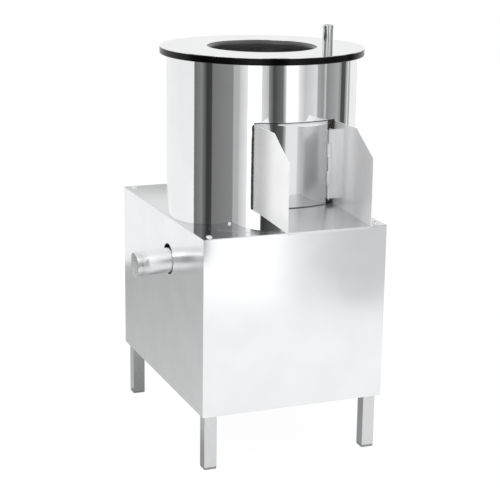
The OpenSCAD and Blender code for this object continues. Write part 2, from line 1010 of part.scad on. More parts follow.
module driven_pulley() {
  rim_in = big_r - 18;
  web_t = 8;
  boss_r = 26;
  color(cast)
    on_drum()
      translate([0, 0, belt_z])
        difference() {
          union() {
            grooved_rim(big_r, rim_in);
            translate([0, 0, -web_t / 2])
              cylinder(r = rim_in + 1, h = web_t);
            translate([0, 0, -pulley_hub_h / 2])
              cylinder(r = boss_r, h = pulley_hub_h);
          }
          for (a = [30:60:330])
            rotate(a)
              translate([(rim_in + boss_r) / 2, 0, -web_t])
                cylinder(r = (rim_in - boss_r) / 2 - 9, h = 2 * web_t);
          translate([0, 0, -pulley_hub_h])
            cylinder(r = nose_d / 2 + seat_fit, h = 2 * pulley_hub_h);
          block([-4, 0, -pulley_hub_h], [4, nose_d / 2 + 3 + seat_fit, pulley_hub_h]);
        }
}

// The peeling disc: a plate with round-backed waves and a hub with a skirt below
module peeling_disc() {
  color(grit)
    on_drum()
      difference() {
        union() {
          translate([0, 0, disc_low])
            cylinder(r = disc_r, h = disc_t, $fn = 128);
          intersection() {
            translate([0, 0, disc_low + 1])
              cylinder(r = disc_r, h = disc_t + wave_h + 2, $fn = 128);
            for (i = [0:waves - 1])
              rotate(i * 360 / waves + 30)
                translate([hub_r - 8, 0, disc_top + wave_h - wave_r])
                  rotate([0, 90, 0])
                    cylinder(r = wave_r, h = disc_r);
          }
          translate([0, 0, disc_top - eps])
            cylinder(r = hub_r - 4, h = 5);
          translate([0, 0, disc_low - hub_h])
            cylinder(r = hub_r, h = hub_h + eps);
        }
        translate([0, 0, disc_low - hub_h - 1])
          cylinder(r = skirt_r, h = hub_h - 23);
        translate([0, 0, disc_low - hub_h])
          cylinder(r = hub_d / 2 + seat_fit, h = hub_h - 4 + seat_fit);
        translate([0, 0, disc_low - 10])
          cylinder(r = thread_d / 2 + seat_fit, h = 60);
      }
}

// Two blades under the disc that push the peel to the drain
module sweeper_blades() {
  reach = pan_mouth_r - 10;
  color(steel)
    on_drum()
      for (a = [0, 180])
        rotate(a)
          difference() {
            translate([0, -2, disc_low - sweeper_h])
              cube([reach, 4, sweeper_h]);
            translate([0, 0, disc_low - hub_h])
              cylinder(r = hub_r + seat_fit, h = hub_h);
            translate([reach, 0, disc_low - sweeper_h])
              rotate([90, 0, 0])
                cylinder(r = 12, h = 10, center = true);
          }
}

module disc_nut() {
  flats = 34;
  low = disc_top + 5;
  color(steel)
    on_drum()
      difference() {
        union() {
          translate([0, 0, low])
            cylinder(r = flats / 2, h = 11);
          intersection() {
            translate([0, 0, low + 11])
              sphere(r = flats / 2);
            translate([0, 0, low + 10])
              cylinder(r = flats, h = 30);
          }
        }
        translate([0, 0, low - 1])
          cylinder(r = thread_d / 2 + seat_fit, h = 17);
      }
}

module at_motor() {
  translate([0, motor_y, deck_top])
    children();
}

// The motor's mounting flange and lower end cover, with its spigot through the deck
module motor_flange() {
  color(motor_blue)
    at_motor()
      difference() {
        union() {
          cylinder(r = motor_flange_r, h = motor_flange_t);
          cylinder(d = motor_d - 8, h = cover_h);
        }
        translate([0, 0, -1])
          cylinder(r = motor_shaft_d / 2 + run_fit, h = cover_h + 2);
        for (a = [45:90:315])
          translate([motor_bolt_r * cos(a), motor_bolt_r * sin(a), -1])
            cylinder(d = motor_bolt_d + 2 * near_fit, h = cover_h + 2);
        for (a = [45:90:315])
          translate([motor_bolt_r * cos(a), motor_bolt_r * sin(a), motor_flange_t])
            cylinder(r = motor_bolt_d * 1.3, h = cover_h);
      }
}

module motor_body() {
  fins = 24;
  color(motor_blue)
    at_motor()
      translate([0, 0, cover_h])
        difference() {
          union() {
            cylinder(r = motor_core_r, h = motor_h);
            for (i = [0:fins - 1])
              rotate(i * 360 / fins)
                translate([motor_core_r - 2, -1.2, 3])
                  cube([fin_h + 2, 2.4, motor_h - 3 - cowl_lap]);
          }
          translate([0, 0, -1])
            cylinder(r = motor_shaft_d / 2 + run_fit, h = motor_h + 2);
        }
}

// The fan on the motor shaft's upper end: straight blades on a round plate
module motor_fan() {
  fan_r = motor_core_r - fan_clear;
  fan_gap = cowl_h / 8;
  blade_h = cowl_h * 0.56;
  blade_t = 2;
  blades = 6;
  fan_hub_r = motor_shaft_d / 2 + fan_clear;
  color(black)
    at_motor()
      translate([0, 0, cover_h + motor_h + fan_gap])
        difference() {
          union() {
            cylinder(r = fan_r, h = blade_t);
            cylinder(r = fan_hub_r, h = blade_h);
            for (i = [0:blades - 1])
              rotate(i * 360 / blades)
                translate([fan_hub_r - blade_t, -blade_t / 2, blade_t / 2])
                  cube([fan_r - fan_hub_r, blade_t, blade_h - blade_t / 2]);
          }
          translate([0, 0, -1])
            cylinder(r = motor_shaft_d / 2 + seat_fit, h = blade_h + 2);
        }
}

// The fan's cowl, pushed over the motor's upper end, with slots for the air
module motor_fan_cowl() {
  outer_r = motor_d / 2 - 2;
  color(motor_blue)
    at_motor()
      translate([0, 0, cover_h + motor_h])
        difference() {
          translate([0, 0, -cowl_lap + 0.5])
            cylinder(r = outer_r, h = cowl_h + cowl_lap - 0.5);
          translate([0, 0, -cowl_lap])
            cylinder(r = motor_core_r + seat_fit, h = cowl_lap + cowl_h - 2);
          for (i = [0:11])
            rotate(i * 30)
              translate([16, -2, cowl_h - 4])
                cube([outer_r - 24, 4, 8]);
        }
}

// The terminal box with its lid, on the motor's side
module terminal_box() {
  x0 = motor_core_r;
  lid_over = 2;
  color(black)
    at_motor()
      translate([0, 0, cover_h + term_up]) {
        difference() {
          block([x0 - 4, -term_w / 2, 0], [x0 + term_depth, term_w / 2, term_h]);
          cylinder(r = motor_d / 2 + near_fit, h = 3 * term_h, center = true);
        }
        block([x0 + term_depth - eps, -term_w / 2 - lid_over, -lid_over],
              [x0 + term_depth + term_lid_t, term_w / 2 + lid_over, term_h + lid_over]);
      }
}

module motor_bolts() {
  washer_t = 1.6;
  color(dull_steel)
    at_motor_bolts(deck_top + motor_flange_t) {
      grip = motor_flange_t + deck_t + washer_t;
      hex_bolt(motor_bolt_d, grip + nut_height(motor_bolt_d) + thread_over);
      translate([0, 0, -grip])
        cylinder(d = 2.2 * motor_bolt_d, h = washer_t);
      translate([0, 0, -grip])
        hex_nut(motor_bolt_d);
    }
}

module motor_shaft() {
  low = belt_z - pulley_w / 2 - pulley_boss_h;
  color(steel)
    translate([0, motor_y, low])
      cylinder(d = motor_shaft_d, h = deck_top + cover_h + motor_h + cowl_h - 8 - low);
}

module motor_pulley() {
  color(cast)
    translate([0, motor_y, belt_z])
      difference() {
        union() {
          grooved_rim(small_r, motor_shaft_d / 2 + 2);
          translate([0, 0, -pulley_w / 2 - pulley_boss_h])
            cylinder(r = small_r * 0.6, h = pulley_boss_h + 2);
        }
        translate([0, 0, -pulley_w])
          cylinder(r = motor_shaft_d / 2 + seat_fit, h = 2 * pulley_w);
      }
}

// The wedge belt: an arc on each pulley and two straight runs that lap into their ends
module drive_belt() {
  run_l = belt_c * cos(belt_lean);
  run_lap = 0.5;
  color(black)
    translate([0, drum_y, belt_z]) {
      rotate(180 - belt_lean)
        rotate_extrude(angle = 180 + 2 * belt_lean, $fn = 128)
          belt_section(big_r, 0);
      translate([0, belt_c, 0])
        rotate(belt_lean)
          rotate_extrude(angle = 180 - 2 * belt_lean, $fn = 128)
            belt_section(small_r, 0);
      for (side = [0, 1])
        mirror([side, 0, 0])
          rotate(belt_lean)
            translate([0, -run_lap, 0])
              rotate([-90, 0, 0])
                linear_extrude(run_l + 2 * run_lap)
                  belt_section(big_r, -eps);
    }
}

module on_inlet(z) {
  translate([inlet_x, inlet_y, z])
    children();
}

// The black board of the lid: its outer edge is the rim that overhangs the drum, its inner edge is well rounded
module lid_board() {
  color(black)
    difference() {
      on_drum()
        translate([0, 0, board_z])
          rotate_extrude($fn = 128)
            union() {
              translate([feed_r, 0])
                square([lid_r - board_edge_r - feed_r, board_t]);
              translate([feed_r - feed_edge_r, 0])
                square([feed_edge_r, board_t - feed_edge_r]);
              intersection() {
                translate([feed_r, board_t - feed_edge_r])
                  circle(r = feed_edge_r, $fn = 64);
                translate([feed_r - feed_edge_r, board_t - feed_edge_r])
                  square([feed_edge_r, feed_edge_r]);
              }
              translate([lid_r - board_edge_r - eps, board_edge_r])
                square([board_edge_r + eps, board_t - board_edge_r]);
              translate([lid_r - board_edge_r, board_edge_r])
                circle(r = board_edge_r, $fn = 32);
            }
      on_inlet(board_z - 1)
        cylinder(r = inlet_d / 2 + near_fit, h = 40);
    }
}

module lid_steel_top() {
  color(steel)
    difference() {
      on_drum()
        translate([0, 0, board_z + board_t])
          ring(lid_r, feed_r, lid_top_t);
      on_inlet(board_z)
        cylinder(r = inlet_d / 2 + weld_gap, h = 40);
    }
}

module lid_locating_ring() {
  color(steel)
    on_drum()
      translate([0, 0, board_z - locate_h])
        rotate_extrude($fn = 128)
          polygon([
            [locate_r, 0],
            [locate_r, locate_h],
            [locate_flange_r, locate_h],
            [locate_flange_r, locate_h - 1.5],
            [locate_r - 1.5, locate_h - 1.5],
            [locate_r - 1.5, 0]
          ]);
}

// The water inlet: a short pipe through the lid, with a rolled top edge
module water_inlet_pipe() {
  below = 14;
  lip = 0.7;
  color(steel)
    on_inlet(0)
      rotate_extrude()
        polygon([
          [inlet_bore / 2, board_z - below],
          [inlet_d / 2, board_z - below],
          [inlet_d / 2, lid_top + inlet_h - 7],
          [inlet_d / 2 + lip, lid_top + inlet_h - 5],
          [inlet_d / 2 + lip, lid_top + inlet_h - 0.7],
          [inlet_d / 2, lid_top + inlet_h],
          [inlet_bore / 2, lid_top + inlet_h]
        ]);
}

module inlet_locknut() {
  color(steel)
    on_inlet(board_z - 7)
      difference() {
        cylinder(r = locknut_r, h = 7, $fn = 6);
        translate([0, 0, -1])
          cylinder(r = inlet_d / 2 + seat_fit, h = 10);
      }
}

// A cheek's outline in the plane of Y and Z
module cheek_outline() {
  back_y = drum_y - drum_r / 2;
  high = top_z + cheek_top;
  low_back = sill_z + tan(fall_angle) * (back_y - mid_front) - chute_t;
  low_front = sill_z - chute_fall - chute_t;
  polygon([
    [back_y, low_back],
    [chute_front, low_front],
    [chute_front, high - cheek_cut_z],
    [chute_front + cheek_cut_y, high],
    [back_y, high]
  ]);
}

// A cheek plate with its inner face at x = half_chute, cut to stand on the drum
module cheek() {
  difference() {
    translate([half_chute, 0, 0])
      rotate([90, 0, 90])
        linear_extrude(chute_t)
          cheek_outline();
    on_drum()
      translate([0, 0, top_z])
        cylinder(r = drum_r + weld_gap, h = drum_h, $fn = 128);
  }
}

module right_cheek() {
  color(steel) cheek();
}

module left_cheek() {
  color(steel)
    mirror([1, 0, 0])
      cheek();
}

// The chute's floor falls to the front and ends in a fold
module chute_floor() {
  back_y = drum_y - drum_r / 2;
  rise = tan(fall_angle) * (back_y - mid_front);
  front_z = sill_z - chute_fall;
  color(steel)
    difference() {
      translate([-half_chute + weld_gap, 0, 0])
        rotate([90, 0, 90])
          linear_extrude(chute_w - 2 * weld_gap)
            polygon([
              [back_y, sill_z + rise],
              [chute_front, front_z],
              [chute_front, front_z - chute_t - floor_fold],
              [chute_front + chute_t, front_z - chute_t - floor_fold],
              [chute_front + chute_t, front_z - chute_t],
              [back_y, sill_z + rise - chute_t]
            ]);
      on_drum()
        translate([0, 0, top_z])
          cylinder(r = drum_r + weld_gap, h = drum_h, $fn = 128);
    }
}

// The door: a piece of the drum's wall with a half-moon pull lip along its top edge
module door_panel() {
  chord = lip_w / 2;
  touch_y = drum_y - sqrt(pow(drum_r, 2) - pow(lip_x - chord, 2));
  edge_r = (pow(chord, 2) + pow(lip_depth + 6, 2)) / (2 * (lip_depth + 6));
  color(steel)
    difference() {
      union() {
        intersection() {
          on_drum()
            translate([0, 0, door_low])
              ring(drum_r, drum_in, door_high - door_low);
          block([door_left, -half_d - 60, door_low], [door_right, drum_y - drum_r / 2, door_high]);
        }
        intersection() {
          on_drum()
            translate([0, 0, lip_z])
              difference() {
                cylinder(r = drum_r + lip_depth + 10, h = chute_t);
                translate([0, 0, -1])
                  cylinder(r = drum_in + 0.5, h = chute_t + 2);
              }
          translate([lip_x, drum_y - drum_r - lip_depth + edge_r, lip_z - 1])
            cylinder(r = edge_r, h = chute_t + 2);
          block([door_left, -half_d - 60, lip_z], [door_right, drum_y - drum_r / 2, door_high]);
        }
      }
      on_latch()
        translate([0, 0, -12])
          cylinder(r = spindle_r + run_fit, h = 24);
    }
}

// The latch spindle's axis, with z pointing outwards from the drum's wall
module on_latch() {
  on_drum()
    rotate(latch_angle)
      translate([0, -drum_r, latch_z])
        rotate([90, 0, 0])
          children();
}

// The turn knob outside the door
module latch_knob() {
  color(black)
    on_latch()
      translate([0, 0, near_fit])
        difference() {
          union() {
            cylinder(r = knob_d / 2 - 4, h = 6);
            translate([0, 0, 6])
              linear_extrude(12)
                round_rect(knob_d * 0.4, knob_d, 3);
          }
          translate([0, 0, -1])
            cylinder(r = spindle_r + seat_fit, h = 11);
        }
}

// The spindle through the door and the tongue that turns behind the drum's wall
module latch_tongue() {
  depth = drum_r - tongue_out;
  color(steel)
    on_latch() {
      translate([0, 0, -depth - tongue_t])
        cylinder(r = spindle_r, h = depth + tongue_t + near_fit + 9);
      translate([0, 0, -depth - tongue_t])
        linear_extrude(tongue_t)
          union() {
            circle(r = tongue_w / 2);
            translate([-tongue_w / 2, 0])
              square([tongue_w, tongue_l - tongue_w / 2]);
            translate([0, tongue_l - tongue_w / 2])
              circle(r = tongue_w / 2);
          }
    }
}

// The knuckles from the first one given, every second one, at the hinge's axis
module knuckle_row(first) {
  translate([hinge_x, hinge_y, hinge_low])
    for (i = [first:2:knuckles - 1])
      translate([0, 0, i * knuckle_h + knuckle_gap / 2])
        cylinder(d = barrel_d, h = knuckle_h - knuckle_gap);
}

module hinge_bore() {
  translate([hinge_x, hinge_y, hinge_low - 5])
    cylinder(d = hinge_pin_d + 2 * run_fit, h = hinge_h + 10);
}

// The fixed leaf, welded to the right cheek
module fixed_leaf() {
  clear_r = barrel_d / 2 + near_fit;
  color(steel)
    difference() {
      union() {
        knuckle_row(0);
        difference() {
          block([hinge_x, hinge_y - leaf_t / 2, hinge_low],
                [half_chute, hinge_y + leaf_t / 2, hinge_low + hinge_h]);
          for (i = [1:2:knuckles - 1])
            translate([hinge_x, hinge_y, hinge_low + i * knuckle_h - knuckle_gap / 2])
              cylinder(r = clear_r, h = knuckle_h + knuckle_gap);
        }
      }
      hinge_bore();
    }
}

// The moving leaf: a strip behind the door's edge, with its knuckles in between
module door_leaf() {
  strip_l = 18;
  strip_out = drum_in - 0.1;
  color(steel)
    difference() {
      union() {
        knuckle_row(1);
        intersection() {
          on_drum()
            translate([0, 0, hinge_low])
              ring(strip_out, strip_out - leaf_t, hinge_h);
          block([door_right - strip_l, -half_d - 60, hinge_low],
                [hinge_x - 2, drum_y - drum_r / 2, hinge_low + hinge_h]);
        }
        for (i = [1:2:knuckles - 1])
          intersection() {
            block([door_right + 0.8, hinge_y - 1, hinge_low + i * knuckle_h + knuckle_gap / 2],
                  [hinge_x, drum_y - drum_r / 2, hinge_low + (i + 1) * knuckle_h - knuckle_gap / 2]);
            on_drum()
              translate([0, 0, hinge_low])
                ring(hinge_r + 1, strip_out - leaf_t, hinge_h);
            block([door_right - 1, -half_d - 60, hinge_low], [hinge_x - 2, drum_y, hinge_low + hinge_h]);
          }
      }
      hinge_bore();
    }
}

module hinge_pin() {
  color(dull_steel)
    translate([hinge_x, hinge_y, hinge_low - 3])
      union() {
        cylinder(d = hinge_pin_d, h = hinge_h + 4);
        cylinder(d = barrel_d - 0.5, h = 3 - near_fit);
        translate([0, 0, hinge_h + 3 + near_fit])
          cylinder(d = barrel_d - 0.5, h = 2);
      }
}

// A button's axis on the starter box, with z pointing out of the right side
module at_button(z) {
  translate([half_w + starter_t, starter_y, z])
    rotate([0, 90, 0])
      children();
}

module starter_box() {
  wall = box_wall;
  color([0.75, 0.76, 0.76])
    difference() {
      union() {
        translate([half_w, starter_y, starter_z])
          rotate([90, 0, 90])
            linear_extrude(starter_t)
              round_rect(starter_w, starter_h, box_corner_r);
        for (z = [start_z, stop_z])
          at_button(z)
            cylinder(r = button_r + boss_w, h = boss_h);
      }
      translate([half_w + wall, starter_y, starter_z])
        rotate([90, 0, 90])
          linear_extrude(starter_t - 2 * wall)
            round_rect(starter_w - 2 * wall, starter_h - 2 * wall, box_corner_r - wall);
      for (z = [start_z, stop_z])
        at_button(z)
          translate([0, 0, -wall - 1])
            cylinder(r = button_r + near_fit, h = 20);
      translate([half_w - 1, starter_y, starter_z])
        rotate([0, 90, 0])
          cylinder(d = lead_hole_d, h = wall + 2);
    }
}

// A push button: its cap, its stem, and the collar that stops it behind the box's wall
module push_button(cap_h, cap_r) {
  cap_z = boss_h + button_travel + 0.5;
  translate([0, 0, -box_wall - 8])
    cylinder(r = button_r, h = box_wall + 8 + cap_z);
  translate([0, 0, -box_wall - near_fit - 2.5])
    cylinder(r = button_r + 2.5, h = 2.5);
  translate([0, 0, cap_z - eps])
    cylinder(r = cap_r, h = cap_h);
}

module start_button() {
  color("green")
    at_button(start_z)
      push_button(1.5, button_r);
}

module stop_button() {
  color("red")
    at_button(stop_z)
      push_button(7, button_r + 4);
}

module cable_gland() {
  body_d = gland_hole_d - 2 * near_fit;
  color(black)
    translate([gland_x, half_d, gland_z])
      rotate([-90, 0, 0])
        difference() {
          union() {
            translate([0, 0, -sheet_t - 6])
              cylinder(d = body_d, h = sheet_t + 8);
            cylinder(d = (body_d + 2 * gland_wall) / cos(30), h = 6, $fn = 6);
            translate([0, 0, 6 - eps])
              cylinder(d = body_d + 3, h = 12);
            translate([0, 0, -sheet_t - 5])
              cylinder(d = (body_d + 5) / cos(30), h = 5, $fn = 6);
          }
          translate([0, 0, -20])
            cylinder(d = gland_bore, h = 50);
        }
}

leg_front_left();
leg_front_right();
leg_rear_left();
leg_rear_right();
foot_plugs();
leg_top_plugs();
upper_rails();
lower_rails();
front_panel();
left_panel();
right_panel();
back_panel();
back_panel_screws();
top_plate();
top_plate_screws();
drum_shell();
drum_bolts();
drum_lining();
catch_pan();
drain_pipe();
drive_deck();
deck_bolts();
bearing_housing();
housing_bolts();
lower_bearing();
upper_bearing();
shaft_seal();
drive_shaft();
pulley_key();
driven_pulley();
peeling_disc();
sweeper_blades();
disc_nut();
motor_body();
motor_flange();
motor_fan();
motor_fan_cowl();
terminal_box();
motor_bolts();
motor_shaft();
motor_pulley();
drive_belt();
lid_board();
lid_steel_top();
lid_locating_ring();
water_inlet_pipe();
inlet_locknut();
left_cheek();
right_cheek();
chute_floor();
door_panel();
door_leaf();
fixed_leaf();
hinge_pin();
latch_knob();
latch_tongue();
starter_box();
start_button();
stop_button();
cable_gland();
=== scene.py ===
import json
import math

import bmesh
import bpy
from mathutils import Matrix, Vector


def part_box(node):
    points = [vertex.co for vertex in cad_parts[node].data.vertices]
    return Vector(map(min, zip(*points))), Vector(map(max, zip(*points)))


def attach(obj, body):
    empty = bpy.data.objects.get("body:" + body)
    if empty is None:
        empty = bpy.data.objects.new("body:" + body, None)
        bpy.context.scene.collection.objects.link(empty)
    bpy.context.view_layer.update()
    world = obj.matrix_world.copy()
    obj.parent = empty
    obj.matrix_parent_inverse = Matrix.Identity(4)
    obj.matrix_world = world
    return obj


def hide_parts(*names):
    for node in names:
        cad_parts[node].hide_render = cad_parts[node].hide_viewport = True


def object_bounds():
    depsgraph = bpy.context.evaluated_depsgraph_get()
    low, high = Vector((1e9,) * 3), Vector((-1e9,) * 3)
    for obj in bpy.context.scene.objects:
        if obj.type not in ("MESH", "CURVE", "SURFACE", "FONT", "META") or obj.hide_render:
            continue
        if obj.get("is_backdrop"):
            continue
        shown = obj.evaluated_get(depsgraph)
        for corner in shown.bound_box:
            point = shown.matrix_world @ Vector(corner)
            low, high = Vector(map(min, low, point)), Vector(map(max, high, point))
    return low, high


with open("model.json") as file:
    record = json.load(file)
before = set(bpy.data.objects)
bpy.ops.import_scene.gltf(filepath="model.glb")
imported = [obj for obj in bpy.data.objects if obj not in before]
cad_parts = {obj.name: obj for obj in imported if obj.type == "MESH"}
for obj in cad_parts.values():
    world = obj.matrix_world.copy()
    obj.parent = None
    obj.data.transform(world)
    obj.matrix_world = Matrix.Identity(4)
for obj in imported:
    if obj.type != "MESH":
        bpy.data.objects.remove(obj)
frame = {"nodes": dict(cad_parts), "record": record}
cad_low, cad_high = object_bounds()


# The studio: a white floor that runs out of sight, a white room round it, and a camera in front of the
# machine and to its left. The machine is polished to a mirror, so what it shows is mostly this room: white
# walls, and a ring of upright cards, grey and white, round the drum.
def srgb(code):
    """The linear colour of an sRGB hex code."""
    channels = [int(code[i:i + 2], 16) / 255 for i in (0, 2, 4)]
    linear = [c / 12.92 if c <= 0.04045 else ((c + 0.055) / 1.055) ** 2.4 for c in channels]
    return (*linear, 1.0)


def add(tree, kind, inputs=None, **settings):
    """A new node in the tree, with its settings made and its inputs set or linked."""
    node = tree.nodes.new(kind)
    for name, value in settings.items():
        setattr(node, name, value)
    for name, value in (inputs or {}).items():
        if isinstance(value, bpy.types.NodeSocket):
            tree.links.new(value, node.inputs[name])
        else:
            node.inputs[name].default_value = value
    return node


def blank(name):
    """A new material with an empty node tree."""
    material = bpy.data.materials.new(name)
    material.use_nodes = True
    material.node_tree.nodes.clear()
    return material


scene = bpy.context.scene
scene.view_settings.view_transform = "Standard"

camera_spot = Vector((-1.0760, -2.6602, 1.1136))
camera_turn = math.radians(-22.09)
camera_dip = 14.63
camera_roll = math.radians(0.81)
camera_data = bpy.data.cameras.new("camera")
camera_data.lens = 102.9
camera_data.shift_x = 0.0007
camera_data.shift_y = 0.0028
camera = bpy.data.objects.new("camera", camera_data)
camera.matrix_world = (
    Matrix.Translation(camera_spot)
    @ Matrix.Rotation(camera_turn, 4, "Z")
    @ Matrix.Rotation(math.radians(90 - camera_dip), 4, "X")
    @ Matrix.Rotation(camera_roll, 4, "Z")
)
scene.collection.objects.link(camera)
scene.camera = camera

floor_half = 12.0
floor_corners = [(x * floor_half, y * floor_half, 0) for x, y in ((-1, -1), (1, -1), (1, 1), (-1, 1))]
floor_mesh = bpy.data.meshes.new("studio_floor")
floor_mesh.from_pydata(floor_corners, [], [(0, 1, 2, 3)])
floor = bpy.data.objects.new("studio_floor", floor_mesh)
scene.collection.objects.link(floor)
floor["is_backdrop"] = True

# Matt white paint. It keeps the machine's shadow, and yet shows nearly white to the camera and in polished
# steel.
floor_seen = 0.92
floor_gloss = 0.65
floor_paint = blank("white_studio_floor")
tree = floor_paint.node_tree
rays = add(tree, "ShaderNodeLightPath")
matt_white = add(tree, "ShaderNodeBsdfDiffuse", {"Color": srgb("E6E6E6")})
plain_white = add(tree, "ShaderNodeEmission", {"Color": srgb("FFFFFF"), "Strength": 1.05})
seen = add(tree, "ShaderNodeMath", {0: rays.outputs["Is Camera Ray"], 1: floor_seen}, operation="MULTIPLY")
gloss = add(tree, "ShaderNodeMath", {0: rays.outputs["Is Glossy Ray"], 1: floor_gloss}, operation="MULTIPLY")
share = add(tree, "ShaderNodeMath", {0: seen.outputs[0], 1: gloss.outputs[0]}, operation="MAXIMUM")
mix = add(
    tree, "ShaderNodeMixShader", {0: share.outputs[0], 1: matt_white.outputs[0], 2: plain_white.outputs[0]}
)
add(tree, "ShaderNodeOutputMaterial", {"Surface": mix.outputs[0]})
floor_mesh.materials.append(floor_paint)

# The room is plain white to the camera and in what is polished, and lights the machine a little less than
# that.
room_light = 0.78
world = bpy.data.worlds.new("white_room")
scene.world = world
world.use_nodes = True
tree = world.node_tree
tree.nodes.clear()
rays = add(tree, "ShaderNodeLightPath")
lighting = add(tree, "ShaderNodeBackground", {"Color": srgb("FFFFFF"), "Strength": room_light})
showing = add(tree, "ShaderNodeBackground", {"Color": srgb("FFFFFF"), "Strength": 1.0})
shown = add(
    tree, "ShaderNodeMath", {0: rays.outputs["Is Camera Ray"], 1: rays.outputs["Is Glossy Ray"]},
    operation="MAXIMUM",
)
mix = add(tree, "ShaderNodeMixShader", {0: shown.outputs[0], 1: lighting.outputs[0], 2: showing.outputs[0]})
add(tree, "ShaderNodeOutputWorld", {"Surface": mix.outputs[0]})

# Three soft lamps, each placed by its bearing from the front (0) to the right (90). The top one isn't
# mirrored.
middle = (cad_low + cad_high) / 2
for name, bearing, height, distance, size, power, mirrored in (
    ("key_light", -60, 2.2, 2.6, 1.6, 22, True),
    ("fill_light", 35, 1.8, 3.0, 1.8, 14, True),
    ("top_light", 150, 3.0, 1.2, 1.6, 16, False),
):
    lamp = bpy.data.lights.new(name, "AREA")
    lamp.size = size
    lamp.energy = power
    stand = bpy.data.objects.new(name, lamp)
    way = Vector((math.sin(math.radians(bearing)), -math.cos(math.radians(bearing)), 0))
    stand.location = way * distance + Vector((0, 0, height))
    stand.rotation_mode = "QUATERNION"
    stand.rotation_quaternion = (middle - stand.location).to_track_quat("-Z", "Y")
    stand.visible_glossy = mirrored
    scene.collection.objects.link(stand)


def show_in_gloss(name, corners, faces, tones, strength=1.0):
    """A glowing card that shows only in what is polished. Its corners come in pairs along it, and its tone
    runs along it too, from the first of the two tones to the second."""
    card_mesh = bpy.data.meshes.new(name)
    card_mesh.from_pydata(corners, [], faces)
    layer = card_mesh.uv_layers.new(name="along")
    for loop in card_mesh.loops:
        layer.data[loop.index].uv = (loop.vertex_index // 2 / (len(corners) // 2 - 1), 0)
    card = bpy.data.objects.new(name, card_mesh)
    scene.collection.objects.link(card)
    card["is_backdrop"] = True
    card.visible_camera = False
    card.visible_diffuse = False
    card.visible_shadow = False
    cloth = blank(name + "_cloth")
    spot = add(cloth.node_tree, "ShaderNodeTexCoord")
    along = add(cloth.node_tree, "ShaderNodeSeparateXYZ", {"Vector": spot.outputs["UV"]})
    ramp = add(cloth.node_tree, "ShaderNodeValToRGB", {"Fac": along.outputs["X"]})
    ramp.color_ramp.elements[0].color = srgb(tones[0])
    ramp.color_ramp.elements[1].color = srgb(tones[1])
    glow = add(cloth.node_tree, "ShaderNodeEmission", {"Color": ramp.outputs["Color"], "Strength": strength})
    add(cloth.node_tree, "ShaderNodeOutputMaterial", {"Surface": glow.outputs[0]})
    card_mesh.materials.append(cloth)


# Each upright card spans a range of bearings from the drum's axis. The cards behind the machine are short,
# so that the top plate doesn't mirror them.
drum_low, drum_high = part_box("drum_shell")
drum_x, drum_y = (drum_low[0] + drum_high[0]) / 2, (drum_low[1] + drum_high[1]) / 2
card_distance = 1.25
card_foot = 0.01
tall = 1.15
short = 0.70
card_step = math.radians(3)
for name, start, end, tones, strength, head in (
    ("left_thin_card", -104, -91.5, ("707070", "8A8A8A"), 1.0, tall),
    ("left_dark_edge", -91.5, -85, ("7C7C7C", "3A3A3A"), 1.0, tall),
    ("left_dark_card", -85, -78.5, ("3A3A3A", "424242"), 1.0, tall),
    ("left_grey_card", -78.5, -53, ("787878", "8C8C8C"), 1.0, tall),
    ("left_pale_card", -53, -46, ("B2B2B2", "B8B8B8"), 1.0, tall),
    ("left_light_card", -46, -37, ("CACACA", "F0F0F0"), 1.0, tall),
    ("soft_box", -37, -21.5, ("FFFFFF", "FFFFFF"), 1.25, tall),
    ("front_light_card", -21.5, -14, ("E0E0E0", "C4C4C4"), 1.0, tall),
    ("front_grey_card", -14, -9, ("8C8C8C", "5C5C5C"), 1.0, tall),
    ("front_dark_card", -9, 2, ("464646", "747474"), 1.0, tall),
    ("front_edge_card", 2, 5.5, ("8C8C8C", "E0E0E0"), 1.0, tall),
    ("right_soft_box", 5.5, 19, ("FFFFFF", "FFFFFF"), 1.2, tall),
    ("right_light_card", 19, 28, ("F4F4F4", "C6C6C6"), 1.0, tall),
    ("right_pale_card", 28, 43, ("CCCCCC", "E4E4E4"), 1.0, tall),
    ("right_grey_card", 43, 53, ("ABABAB", "949494"), 1.0, tall),
    ("right_bright_strip", 53, 56, ("C4C4C4", "C4C4C4"), 1.0, tall),
    ("right_wide_card", 56, 75, ("8E8E8E", "ACACAC"), 1.0, tall),
    ("right_dark_edge", 75, 81.5, ("B0B0B0", "8C8C8C"), 1.0, tall),
    ("right_dark_card", 81.5, 90.5, ("505050", "505050"), 1.0, tall),
    ("right_mid_card", 90.5, 97, ("7C7C7C", "C8C8C8"), 1.0, tall),
    ("right_thin_card", 98.5, 103.5, ("B0B0B0", "B0B0B0"), 1.0, tall),
    ("back_grey_card", 138, 152, ("D0D0D0", "8C8C8C"), 1.0, short),
    ("back_dark_card", 152, 158, ("6C6C6C", "646464"), 1.0, short),
    ("back_pale_card", 158, 176, ("A0A0A0", "E0E0E0"), 1.0, short),
):
    start, end = math.radians(start), math.radians(end)
    strips = max(2, round((end - start) / card_step))
    corners = []
    for strip in range(strips + 1):
        angle = start + (end - start) * strip / strips
        x = drum_x + card_distance * math.sin(angle)
        y = drum_y - card_distance * math.cos(angle)
        corners += [(x, y, card_foot), (x, y, head)]
    faces = [(2 * i, 2 * i + 2, 2 * i + 3, 2 * i + 1) for i in range(strips)]
    show_in_gloss(name, corners, faces, tones, strength)

# A grey card lies on the floor behind the machine and to its left: a painted shadow of the machine, seen only
# in what is polished, which the polished left side mirrors. Under the machine a darker card is painted shade on
# the floor, which the legs mirror.
for name, left, right, front, back, lift, tones in (
    ("grey_mat", -1.30, 0.10, -0.10, 1.28, 0.002, ("D0D0D0", "B0B0B0")),
    ("shade_under_machine", -0.25, 0.18, -0.235, 0.24, 0.003, ("A4A4A4", "949494")),
):
    # Each card is painted shade, seen only in what is polished.
    shadow_card_corners = [(x, y, lift) for y in (front, back) for x in (left, right)]
    show_in_gloss(name, shadow_card_corners, [(0, 1, 3, 2)], tones)

